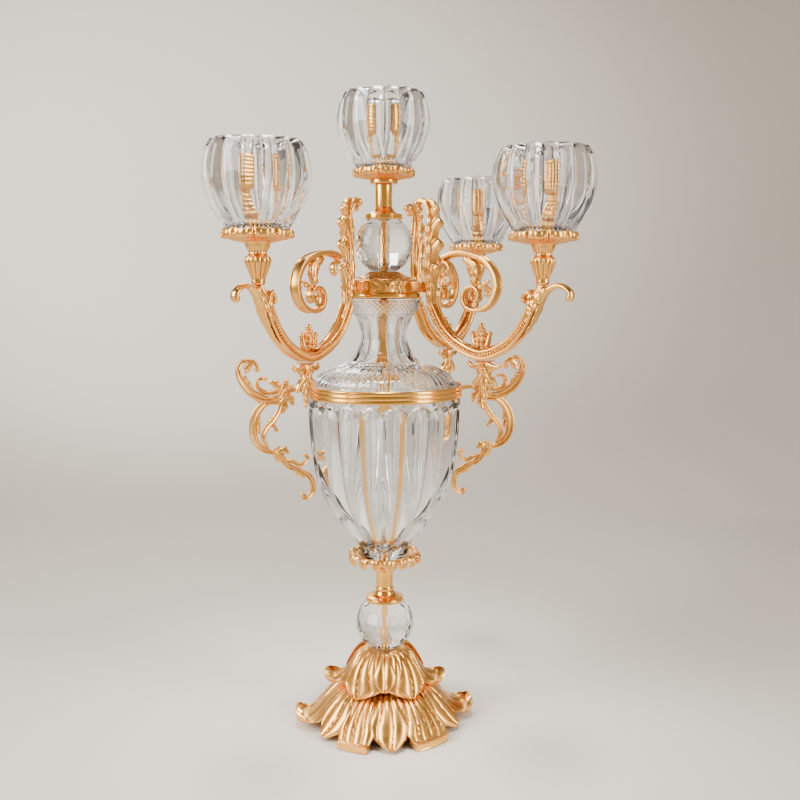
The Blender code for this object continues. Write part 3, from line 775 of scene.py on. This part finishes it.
def hub_dome():
    """The low dome of leaves that seats the upper ball."""
    shape = Shape()
    dome = [(BORE, 525), (13.5, 525), (19, 521.5), (25, 517.5), (35, 516), (36, 514.8), (BORE, 514.8)]
    shape.tube(turned(eased(dome, 1.2, closed=True), 96), loop=True)
    path = [(14, 524.6), (19, 522.8), (25, 519.6), (31, 517.6), (36, 515.8)]
    for step in range(10):
        carved = leaf(path, (3.4, 6, 8.4, 8.6, 3), lobes=3, lean=0.8, notch=0.35, rib=0.9, vein=0.8,
                      thick=2.0, rows=36, columns=20)
        shape.tube(wrapped(carved, 36.0 * step))
    show(shape.mesh("hub_dome"), "hub_dome", ARM_GOLD)


# ---------------------------------------------------------------- lights

def saucer():
    """The scalloped saucer under a light, ribbed below, with small curls along its rim."""
    outline = np.concatenate((
        even([(BORE, 6.3), (12, 6.3)], 4)[:-1], even([(12, 6.3), (29.5, 6.2)], 20)[:-1],
        spline([(29.5, 6.2), (31.6, 7.4), (33.2, 8.6), (34.6, 7.4), (34.9, 4.4), (33.8, 1.6), (31.2, 0.8),
                (26, -0.4), (20, -2.0), (15.5, -3.4), (13.6, -3.5), (12.5, -2.8)], 100)[:-1],
        [(12.5, 0), (BORE, 0)]))

    def ribs(angle, radius, z):
        rim = ramp(radius, 24, 33)
        lobe = arc(angle * 10 / TAU)
        small = arc(angle * 30 / TAU)
        under = (z < 6.1) * ramp(radius, 13, 20)
        leafy = 0.5 + 0.5 * np.cos(60 * angle)
        radius = radius * (1 - 0.055 * rim * (1 - lobe) - 0.02 * rim * (1 - small))
        z = z + 2.2 * rim * (0.45 - lobe) + 0.9 * under * (1 - lobe) - 0.4 * under * leafy
        return radius, z

    shape = Shape().tube(turned(outline, 240, ribs), loop=True)
    for step in range(10):
        for side in (-1, 1):
            angle = 36.0 * step + side * 4.2
            shape.ball(wrapped(np.array((33.2, 0, 2.2)), angle), (1.8, 1.8, 2.3), 10, 7)
        spray = leaf([(14, -3.6), (20, -2.2), (26, -0.6), (32.4, 0.8)], (1.8, 4.4, 6.4, 3.6), 3, 0.6, 0.35,
                     rib=-0.9, vein=-0.8, thick=-1.4, rows=30, columns=16)
        shape.tube(wrapped(spray, 36.0 * step + 18))
    return shape.mesh("saucer")


def candle_cup():
    """The turned cup that a candle stands in."""
    cup = [(0.6, 50), (11.1, 50), (11.1, 75), (11.7, 76), (13.0, 75.4), (13.2, 72.6), (12.7, 71.6),
           (12.6, 54), (12.2, 49.5), (10.6, 45.4), (8.2, 43.4), (7.6, 41), (8.4, 39.6), (7.4, 37),
           (7.0, 26), (8.0, 24.6), (8.0, 22.4), (7.0, 21), (7.4, 13), (9.6, 10), (12, 9), (12, 6.6),
           (3.9, 6.6), (3.9, -8), (0.6, -8)]

    def hammered(angle, radius, z):
        outside = ramp(radius, 5.5, 7) * (z > 10) * (abs(radius - 11.1) > 0.05)
        dimple = np.cos(14 * angle + 0.9 * z) * np.cos(14 * angle - 0.9 * z)
        return radius + 0.4 * outside * dimple, z

    return Shape().tube(turned(divided(eased(cup, 0.7), 0.8), 112, hammered)).mesh("candle_cup")


RIBS = 16
SHADE_R = 51.5
SHADE_FOOT = 6.7     # height of its foot over the bottom of the light
SHADE_RISE = 81.5


def shade():
    """The pressed crystal shade: thick round ribs outside, smooth inside, a scalloped rim."""
    shares = [(0.845, 1.0), (0.945, 0.88), (1.0, 0.68), (0.985, 0.5), (0.88, 0.3), (0.70, 0.13),
              (0.575, 0.0)]
    side = [(share * SHADE_R, SHADE_FOOT + rise * SHADE_RISE) for share, rise in shares]
    outer = spline(side, 90)
    well = eased([(29.6, SHADE_FOOT), (15, SHADE_FOOT), (15, SHADE_FOOT + 6), (24, SHADE_FOOT + 7.4)], 1.5)
    inner = spline([(24, SHADE_FOOT + 7.4), *[(r - 8.2, z + 3.0) for r, z in side[-2:0:-1]],
                    (side[0][0] - 6.6, side[0][1])], 70)
    turn = np.radians(np.linspace(165, 15, 9))
    lip = np.stack((side[0][0] - 3.3 + 3.3 * np.cos(turn), side[0][1] + 1.5 * np.sin(turn)), 1)
    outline = np.concatenate((outer, well[:-1], inner, lip))
    cut = np.zeros(len(outline))
    cut[:len(outer)] = 1
    cut[-len(lip):] = np.linspace(0.1, 0.9, len(lip))

    def ribs(angle, radius, z):
        rib = lens(angle * RIBS / TAU)
        rise = (z - SHADE_FOOT) / SHADE_RISE
        deep = (1.6 + 3.7 * ramp(rise, 0.05, 0.5)) * (1 - 0.4 * ramp(rise, 0.8, 1.0))
        ring = (1 - ramp(rise, 0.08, 0.13)) * (0.5 + 0.5 * np.cos(3 * RIBS * angle) * np.cos(1.1 * z))
        inside = (1 - cut[:, None]) * ramp(rise, 0.1, 0.5)
        radius = radius - cut[:, None] * (deep * (1 - rib) + 1.2 * ring) + 0.8 * inside * (rib - 0.5)
        lift = cut[:, None] * ramp(rise, 0.8, 1.0) * (rib - 1.0) * 2.4
        return radius, z + lift

    return Shape().tube(turned(outline, RIBS * 18, ribs), loop=True).mesh("shade", 30)


def lights():
    """Four equal lights, each where its CAD saucer stands and turned a little its own way."""
    meshes = {"saucer": saucer(), "candle_cup": candle_cup(), "shade": shade()}
    finishes = {"saucer": (LEAF_GOLD, "gold_brass"), "candle_cup": (ARM_GOLD, "gold_brass"),
                "shade": (SHADE_CRYSTAL, "shade_crystal")}
    turns = {"top": -8.0, "left": 3.0, "front": 0.0, "right": 0.0}
    for side in ("top", *ARMS):
        low, high = corners(f"{side}_saucer")
        seat = ((low.x + high.x) / 2, (low.y + high.y) / 2, low.z)
        for kind, mesh in meshes.items():
            body = f"{side}_shade" if kind == "shade" else "stand"
            finish, slot = finishes[kind]
            show(mesh, f"{side}_{kind}", finish, turns[side], body, seat)


# ---------------------------------------------------------------- arms

RAIL = spline(((64.5, 489.5), (69.5, 480), (81, 462), (100, 446.5), (128, 437),
               (155, 446), (172, 461), (183, 478), (190.5, 496)), 150)


def arm_rail():
    """The C-shaped rail: two ridged strands with beads between their ridges, and a web."""
    shape = Shape()
    strand = eased([(1.0, 5.2), (2.6, 5.2), (3.0, 3.0), (1.9, 2.0), (1.9, -1.6), (3.0, -2.8), (2.6, -5.3),
                    (1.0, -5.3), (-1.4, -4.0), (-1.4, 4.0)], 0.9, closed=True)
    swell = 0.94 + 0.06 * np.sin(np.linspace(0, math.pi, len(RAIL)))
    for side in (1, -1):
        section = np.stack((side * (strand[:, 0] + 4.0), strand[:, 1]), 1)
        shape.tube(sweep(RAIL, section, swell, blunt=(0, 0)))
        beads(shape, RAIL[6:-22], side * 6.4, 0.2, 1.6, 3.3)
    shape.tube(sweep(RAIL[48:], oval(4.4, 1.1, 20, power=0.6) + (0, -3.2), blunt=(4, 0)))
    shape.tube(sweep(RAIL[:16], oval(4.4, 2.0, 20, power=0.6), blunt=(0, 4)))
    return shape.mesh("arm_rail")


def arm_scroll():
    """The scroll: a band with raised edges that winds into a volute, with a leaf stem inside it."""
    shape = Shape()
    path = spline(((80, 538.5), (94.5, 542.5), (112.5, 541), (132, 533.5), (143.6, 519), (145.2, 504),
                   (137.5, 490), (124, 483.8), (111, 486.5), (106, 496), (109.5, 505), (117.5, 507.5),
                   (124, 502.5), (123.6, 495), (118.5, 492)), 220)
    band = eased([(6, 2.6), (4.6, 2.6), (3.9, 1.5), (-3.9, 1.5), (-4.6, 2.6), (-6, 2.6), (-6, -1.6),
                  (-3.0, -1.9), (-1.6, -3.1), (1.6, -3.1), (3.0, -1.9), (6, -1.6)], 0.7, closed=True)
    wide = values((1, 1, 1, 1, 0.98, 0.95, 0.85), 220)
    thin = np.stack((wide, values((1.15, 1.15, 1.2, 1.1, 0.95, 0.75, 0.6), 220)), 1)
    shape.tube(sweep(path, band, thin, blunt=(0, 2)))
    shape.ball((117.2, 0, 496.0), (4.0, 5.0, 4.0))
    stem = ((104, 538.5), (113, 534.5), (119, 527), (120, 517.5), (118.5, 508))
    shape.stalk(stem, oval(3.6, 3.6, 24, 6, 0.14), (0.7, 1.2, 1.25, 1.0, 0.8), 50)
    drop = ((77, 534), (84, 533), (88, 528.5), (87.5, 523.5))
    shape.stalk(drop, oval(4.4, 2.6, 24, 4, 0.14), (0.8, 1.0, 1.1, 1.1))
    shape.ball((86.6, 0, 523.4), (3.8, 4.8, 4.2))
    for side in (-1, 1):
        dropping = [(106, 537), (114, 533), (119, 526), (119.5, 518), (116, 510.5)]
        shape.tube(leaf(dropping, (3.4, 5.6, 6.0, 5.0, 2.4), lean=0.5, vein=0.7, thick=1.0, rows=40,
                        columns=18, lying=side * 2.7))
    sprig = [(122, 505), (128, 509), (133, 512), (138, 514)]
    shape.tube(leaf(sprig, (2.0, 2.8, 3.0, 1.0), 3, thick=1.8, rows=24, columns=12, lying=0.0))
    shape.ball((140.4, 0, 507.5), (2.8, 3.2, 2.8))
    return shape.mesh("arm_scroll")


def arm_leaf():
    """The trunk that enters the hub's lug and the tall acanthus leaf above it."""
    shape = Shape()
    trunk = ((64.5, 488.5), (63.8, 500), (63.5, 514), (64.5, 530), (67, 545))
    shape.stalk(trunk, oval(6.0, 5.9, 48, 8, 0.14, power=0.8), (0.85, 1.0, 1.0, 0.8, 0.6), 60)
    shape.tube(sweep(even(((47, HUB_Z), (62, HUB_Z)), 6), oval(3.5, 3.5, 20), blunt=(0.5, 0)))
    spine = ((61, 518), (59, 536), (60, 556), (62.5, 574), (62, 588), (57, 597.5), (49.5, 600), (44.5, 597))
    shape.stalk(spine, oval(4.4, 3.0, 32, 6, 0.16), (1.2, 1.1, 1.0, 1.0, 1.0, 1.05, 1.0), 120)
    shape.ball((45.6, 0, 597.6), (4.6, 5.0, 4.6))
    shape.ball((48.8, 0, 591.0), (3.0, 3.6, 3.0))
    fan = oval(4.4, 1.0, 64, 8, 0.13, power=0.8)
    flares = ((((63, 543), (64, 558), (67.5, 571), (75, 580.5)), (2.6, 4.8, 7.4, 7.8), 1.1),
              (((62, 517), (63.5, 533), (67, 548), (75, 558)), (2.8, 5.2, 8.2, 8.4), 1.2),
              (((62.5, 566), (64, 578), (67, 587), (72, 593)), (2.4, 3.8, 5.0, 5.0), 1.0),
              (((64, 496), (65, 510), (67, 523), (72.5, 532)), (4.5, 5.4, 6.6, 6.8), 1.25))
    for path, deep, wide in flares:
        size = np.stack((wide * values((0.75, 0.85, 1.0, 1.08), 50), values(deep, 50)), 1)
        shape.tube(sweep(spline(path, 50), fan, size, blunt=(2, 3.5)))
    crest = ((63.5, 576), (69, 585), (69, 594), (62, 600), (56, 599))
    shape.stalk(crest, oval(4.0, 2.6, 32, 6, 0.15), (0.6, 0.9, 0.9, 0.8, 0.6))
    flat = ((((62, 505), (62, 522), (63, 540), (66, 558), (71, 569)), (3, 4.6, 4.6, 3.8, 1.2)),
            (((61, 552), (62, 566), (64, 580), (62, 592)), (2, 3.8, 3.6, 1.0)),
            (((65, 494), (65, 506), (66, 518), (69, 530)), (3, 4.2, 4.0, 1.2)))
    for side in (-1, 1):
        for path, widths in flat:
            shape.tube(leaf(path, widths, lean=0.6, rib=0.9, thick=1.2, rows=44, columns=18,
                            lying=side * 4.9))
    return shape.mesh("arm_leaf")


BUD = 127.5          # distance of the bud's middle from the rod


def arm_finial():
    """The bud of stacked berries in the hollow of the rail, with its curls and long leaves."""
    shape = Shape()
    tiers = ((448.5, 2.9, 4.8, 7), (453.5, 2.9, 5.2, 7), (458.5, 2.7, 4.4, 7), (463, 2.4, 2.8, 6))
    for z, size, ring, count in tiers:
        for step in range(count):
            angle = TAU * (step + 0.5 * (round(z) % 2)) / count
            shape.ball((BUD + ring * math.cos(angle), ring * math.sin(angle), z), size, 12, 8)
    shape.ball((BUD, 0, 455), (5.2, 5.2, 10))
    shape.ball((BUD, 0, 467.6), 3.2)
    for side in (-1, 1):
        curl = [(BUD + side * x, z) for x, z in ((2, 445), (7, 448), (9, 453), (10, 459))]
        shape.stalk(curl, oval(3.4, 2.4, 20, 4, 0.15), (1.2, 1.2, 1.0, 0.8))
        shape.ball((BUD + side * 10.4, 0, 459.5), 2.9, 14, 9)
        low = [(BUD + side * x, z) for x, z in ((2, 446.5), (8, 445.8), (15, 447.5), (22, 450.5))]
        shape.tube(leaf(low, (4.0, 4.8, 4.6, 1.2), lean=0.6, rib=0.8 * side, vein=0.7 * side,
                        thick=2.0 * side, rows=36, columns=16))
    base = ((118, 444.6), (131, 442.6), (144, 445.2))
    shape.stalk(base, oval(4.0, 1.2, 20), (0.4, 1.0, 0.4), 30)
    return shape.mesh("arm_finial")


DROP = 132           # distance of the leaf drop's middle from the rod


def arm_pendant():
    """The drop of leaves and flowers under the rail."""
    shape = Shape()
    drop = [(DROP, 431), (DROP, 418), (132.5, 402), (133, 387)]
    shape.tube(leaf(drop, (10.5, 11, 7, 1.5), 5, 0.5, rib=1.4, thick=2.2, rows=70, lying=0.0))
    upper = ((3, 428), (9, 425.5), (15, 425), (19, 428))
    lower = ((2, 417), (7, 412.5), (11, 409), (13, 404))
    for side in (-1, 1):
        for path, width in ((upper, 2.9), (lower, 2.8)):
            curl = spline([(DROP + side * x, z) for x, z in path], 40)
            shape.tube(sweep(curl, oval(3.2, width, 24, 4, 0.16), values((1.2, 1.2, 1.0, 0.8), 40)))
            shape.ball((curl[-1, 0], 0, curl[-1, 1]), 2.4, 12, 8)
    for face in (-1, 1):
        for step in range(6):
            angle = TAU * step / 6
            petal = (DROP + 3.2 * math.cos(angle), face * 3.0, 420 + 3.2 * math.sin(angle))
            shape.ball(petal, (2.0, 1.4, 2.0), 12, 8)
        shape.ball((DROP, face * 3.6, 420), 1.6, 10, 7)
    shape.ball((133, 0, 388.4), (2.2, 2.4, 3.0), 12, 8)
    bracket = ((118, 430.5), (131, 430.0), (146, 432.5))
    shape.stalk(bracket, oval(4.2, 1.3, 20), (0.4, 1.0, 0.4), 30)
    return shape.mesh("arm_pendant")


def arm_collar_leaf():
    """The leaf that wraps the rail's end, with a long outer tendril and a small inner curl."""
    shape = Shape()
    core = ((184.5, 489), (190, 497), (195, 503), (197.3, 510.6))
    shape.stalk(core, oval(5.8, 6.2, 40, 8, 0.16), (0.85, 1.0, 0.95, 0.8), blunt=(2, 1))
    outer = ((194, 493), (203, 504), (212, 509), (221, 508), (228, 502.5), (228.5, 497))
    shape.stalk(outer, oval(4.6, 2.7, 24), (1.5, 1.3, 1.1, 1.0, 1.05, 1.15), 80)
    shape.ball((227.3, 0, 497.6), (4.0, 4.8, 4.2))
    inner = ((190, 492), (186.5, 500), (180.5, 501.5), (176.5, 497), (178.5, 493))
    shape.stalk(inner, oval(4.4, 2.7, 20), (1.3, 1.1, 1.0, 0.9, 0.8), 50)
    shape.ball((178.0, 0, 494.4), (3.2, 4.6, 3.2))
    shape.ball((184.5, 0, 502.8), (2.6, 4.0, 2.6))
    back = [(170, 451), (182, 463), (192.5, 480), (200, 497), (208, 508)]
    shape.tube(leaf(back, (2, 5.4, 6.6, 6.2, 3.0), 6, 0.5, 0.25, rib=-0.8, vein=-0.8, thick=-1.6,
                    columns=20))
    flat = ((((183, 476), (189, 487), (195, 497), (204, 507)), (2, 5, 5.2, 1.6)),
            (((186, 482), (187, 492), (186, 500), (183, 506)), (2, 3.8, 3.4, 1)))
    for side in (-1, 1):
        for path, widths in flat:
            shape.tube(leaf(path, widths, lean=0.5, rib=0.8, thick=1.2, rows=36, columns=16,
                            lying=side * 5.4))
    return shape.mesh("arm_collar_leaf")


STEM_R = 197.5


def arm_stem():
    """The turned stem with a fluted bulb that carries the light."""
    outline = eased([(0.5, 553.4), (13.3, 553.4), (13.3, 549.6), (12.2, 548.8), (11.2, 545), (8.8, 541.5),
                     (8.8, 538.5), (11.6, 536.5), (13, 533.5), (12.6, 531), (9.2, 522), (6.6, 515.5),
                     (6.6, 511.6), (5.4, 509.8), (0.5, 509.8)], 0.8)

    def flutes(angle, radius, z):
        bulb = ramp(z, 514, 520) * (1 - ramp(z, 533, 537))
        upper = ramp(z, 538, 541) * (1 - ramp(z, 546, 548.5))
        return radius - (1.5 * bulb + 0.7 * upper) * (1 - arc(angle * 12 / TAU)), z

    rings = turned(divided(outline, 0.7), 144, flutes) + (STEM_R, 0, 0)
    return Shape().tube(rings).mesh("arm_stem")


def arms():
    """Three equal arms at right angles."""
    meshes = {"arm_leaf": arm_leaf(), "arm_rail": arm_rail(), "arm_scroll": arm_scroll(),
              "arm_finial": arm_finial(), "arm_pendant": arm_pendant(),
              "arm_collar_leaf": arm_collar_leaf(), "arm_stem": arm_stem()}
    for side, degrees in ARMS.items():
        for kind, mesh in meshes.items():
            show(mesh, f"{side}_{kind}", ARM_GOLD, turn=degrees)


# ---------------------------------------------------------------- handles

def handle():
    """An openwork handle: two C-scrolls, inner curls, flowers at the joints and a curled tail."""
    shape = Shape()
    band = eased([(4, 1), (3, 1), (2.4, 0.45), (-2.4, 0.45), (-3, 1), (-4, 1), (-4.3, 0.6), (-2.9, 0.15),
                  (-4.3, -0.35), (-4, -0.7), (-1.8, -1), (1.8, -1), (4, -0.7), (4.3, -0.35), (2.9, 0.15),
                  (4.3, 0.6)], 0.3, closed=True)
    straps = (
        (((114, 396), (118, 386), (132, 383), (148, 390), (159, 403), (163, 416), (159, 425),
          (151, 427), (144, 423.5), (142, 417)), (2.0, 2.2, 2.8, 3.6, 3.4, 2.6, 2.0, 1.8, 1.6)),
        (((134, 407.5), (141, 404.5), (141.5, 397), (135, 391.5), (125, 391), (114, 394.5)),
         (1.4, 1.8, 2.2, 2.2, 2.0)),
        (((113, 392), (118, 381), (133, 379), (143.5, 368), (148, 352), (146, 338), (138, 327.5),
          (127, 323.5), (121, 328)), (1.8, 2.2, 3.0, 3.6, 3.4, 3.0, 2.2, 1.6)),
        (((115, 388), (118, 372), (124, 361), (133, 351), (137, 340), (132, 327)),
         (1.6, 2.0, 2.4, 2.2, 1.6)),
        (((130, 355), (125, 353.5), (122.5, 348.5)), (1.8, 1.6, 1.4)),
        (((125, 327), (117, 318), (109, 307), (96, 301.5), (85.5, 294), (81.5, 283), (84, 273.5),
          (91, 269), (95, 273)), (1.8, 2.6, 2.2, 2.0, 2.4, 2.4, 2.0, 1.6)),
        (((113, 313), (104, 312), (97, 308.5), (91, 310.5), (88, 316), (91.5, 320)),
         (1.4, 1.8, 1.8, 1.6, 1.5)),
    )
    for order, (path, depths) in enumerate(straps):
        count = 14 * len(path)
        depth = 1.28 * values(depths, count)
        width = (1.04 - 0.03 * order) * (0.72 + 0.28 * ramp(depth, 1.6, 3.4))
        shape.tube(sweep(spline(path, count), band, np.stack((width, depth), 1)))
    root = ((89.2, 392.5), (100, 393.5), (112, 391))
    shape.stalk(root, oval(4.0, 3.0, 24, 6, 0.15), (1, 0.8, 1.1), 30, blunt=(0, 2))
    for x, z, size in ((142.5, 417, 3.2), (134, 406.5, 2.6), (122.5, 348.5, 2.6), (121, 328.5, 2.4),
                       (94, 273, 3.3), (91, 319.5, 2.6), (151, 424, 2.6), (105, 397.5, 2.7)):
        shape.ball((x, 0, z), (size, size * 0.95, size))
    leaves = (((116, 392), (111, 399), (110, 407)), ((114, 392), (122, 400), (131, 404)),
              ((112, 390), (106, 383), (103, 375)), ((115, 386), (113, 376), (116, 366)),
              ((146, 390), (153, 399), (156, 411)), ((142, 372), (144, 358), (141, 344)),
              ((127, 326), (120, 316), (111, 309)), ((122, 322), (114, 325), (108, 321)),
              ((104, 305), (97, 299), (91, 292)), ((128, 383), (137, 381), (146, 385)),
              ((147, 424), (152, 420), (155, 412)), ((131, 352), (127, 358), (121, 360)))
    for path in leaves:
        shape.tube(leaf(path, (2.4, 5.0, 4.2, 1.0), 3, 0.5, 0.35, rib=0.9, thick=2.6, rows=26, columns=12,
                        lying=0.0))
    for side in (-1, 1):
        for step in range(5):
            angle = TAU * step / 5
            petal = (114 + 3.3 * math.cos(angle), side * 3.0, 391 + 3.3 * math.sin(angle))
            shape.ball(petal, (2, 1.3, 2), 10, 7)
        shape.ball((114, side * 3.4, 391), 1.7, 10, 7)
    return shape.mesh("handle")


def handles():
    """Two equal handles on the band's diagonal."""
    mesh = handle()
    for node, degrees in HANDLES.items():
        show(mesh, node, ARM_GOLD, turn=degrees)


# ---------------------------------------------------------------- studio

def stage_bowl():
    """A round studio floor that curves up into a far wall, so that every side looks the same."""
    outline = [(5, 0), (900, 0), (1500, 40), (2100, 260), (2500, 800), (2600, 1600), (2600, 2600)]
    rings = turned(np.vstack(([outline[0]], spline(outline, 80)[1:])), 128)
    mesh = bpy.data.meshes.new("studio_floor")
    rows, columns = rings.shape[:2]
    index = np.arange(rows * columns).reshape(rows, columns)
    quads = np.stack((index[:-1], index[1:], np.roll(index[1:], -1, 1), np.roll(index[:-1], -1, 1)), -1)
    faces = quads.reshape(-1, 4).tolist() + [index[0].tolist()]
    mesh.from_pydata((rings.reshape(-1, 3) * MM).tolist(), [], faces)
    mesh.shade_smooth()
    paper, nodes, links, shader = principled("studio_paper", (0.78, 0.74, 0.69), 0.75)
    grain = noise(nodes, links, 400.0, 4.0)
    two_tone(nodes, links, shader, grain, (0.77, 0.715, 0.64), (0.80, 0.745, 0.67))
    mesh.materials.append(paper)
    added("studio_floor", mesh)


def aimed(name, data, place, aim):
    """A new light at a place, pointed at its aim."""
    light = added(name, data)
    light.location = place
    light.rotation_euler = (Vector(aim) - Vector(place)).to_track_quat("-Z", "Y").to_euler()
    return light


def softbox(name, place, aim, size, power, colour):
    """A soft rectangular light that the camera doesn't see."""
    data = bpy.data.lights.new(name, "AREA")
    data.shape = "RECTANGLE"
    data.size, data.size_y = size
    data.energy = power
    data.color = colour
    data.spread = math.radians(145)
    aimed(name, data, place, aim).visible_camera = False


def spot(name, place, aim, cone, blend, power):
    """A soft-edged spotlight that leaves a pale pool where it points."""
    data = bpy.data.lights.new(name, "SPOT")
    data.energy = power
    data.spot_size = math.radians(cone)
    data.spot_blend = blend
    data.shadow_soft_size = 0.3
    data.color = (1.0, 0.985, 0.96)
    aimed(name, data, place, aim)


def dark_flag():
    """A dark board beside the stage, which only the glass and the metal pick up."""
    mesh = bpy.data.meshes.new("dark_flag")
    near, far, low, high, thick = -0.33, 0.0, 0.1, 1.15, 0.02
    points = [(x, y, z) for x in (1.25, 1.25 + thick) for y in (near, far) for z in (low, high)]
    faces = [(0, 1, 3, 2), (4, 6, 7, 5), (0, 4, 5, 1), (2, 3, 7, 6), (0, 2, 6, 4), (1, 5, 7, 3)]
    mesh.from_pydata(points, [], faces)
    board, nodes, links, shader = principled("flag_board", (0.02, 0.02, 0.02), 0.8)
    links.new(spread(nodes, links, noise(nodes, links, 60.0), 0.7, 0.9), shader.inputs["Roughness"])
    mesh.materials.append(board)
    flag = added("dark_flag", mesh)
    flag.visible_camera = False
    flag.visible_shadow = False


def studio():
    """Soft light from the left, weaker from the right and behind, two soft spots and a warm sky."""
    stage_bowl()
    dark_flag()
    middle = (0, 0, 0.38)
    softbox("key", (-1.25, 0.6, 1.1), middle, (0.9, 1.2), 30, (1.0, 0.985, 0.965))
    softbox("fill", (0.15, -1.4, 0.8), middle, (0.5, 1.3), 14.5, (1.0, 0.96, 0.91))
    softbox("back", (1.2, 1.3, 1.5), middle, (0.9, 0.9), 8, (1.0, 0.98, 0.95))
    spot("pool", (-0.15, -0.1, 2.3), (-0.02, 0, 0), 17, 0.8, 340)
    spot("wall", (-1.0, 1.1, 1.6), (0.95, 1.75, 1.0), 66, 1.0, 450)
    world = bpy.data.worlds.new("studio")
    world.use_nodes = True
    sky = world.node_tree.nodes["Background"]
    sky.inputs["Color"].default_value = (1.0, 0.94, 0.86, 1.0)
    sky.inputs["Strength"].default_value = 0.2
    bpy.context.scene.world = world


def camera():
    """A short telephoto view, a little above the middle, from between the left and middle arms."""
    data = bpy.data.cameras.new("camera")
    data.lens = 41.1
    data.sensor_width = 36.0
    view = added("camera", data)
    view.location = (-0.8242, -0.6211, 0.510)
    view.rotation_euler = (math.radians(90 - 7.18), 0, math.radians(-54.0))
    bpy.context.scene.camera = view


# ---------------------------------------------------------------- assembly

camera()
studio()
lower_leaves()
upper_leaves()
cut_ball("lower_ball", 33.0, 16, 9)
cut_ball("upper_ball", 32.3, 36, 12)
fittings()
leaf_cup()
urn_body()
urn_band()
urn_neck()
arm_hub()
hub_dome()
lights()
arms()
handles()
refinish("base_pad", FELT_DARK_AS_PAINTED_SHADE)
refinish("base_nut", STEEL)
refinish("foot_gasket", RUBBER)
for arm in ARMS:
    refinish(f"{arm}_grub_screw", STEEL)
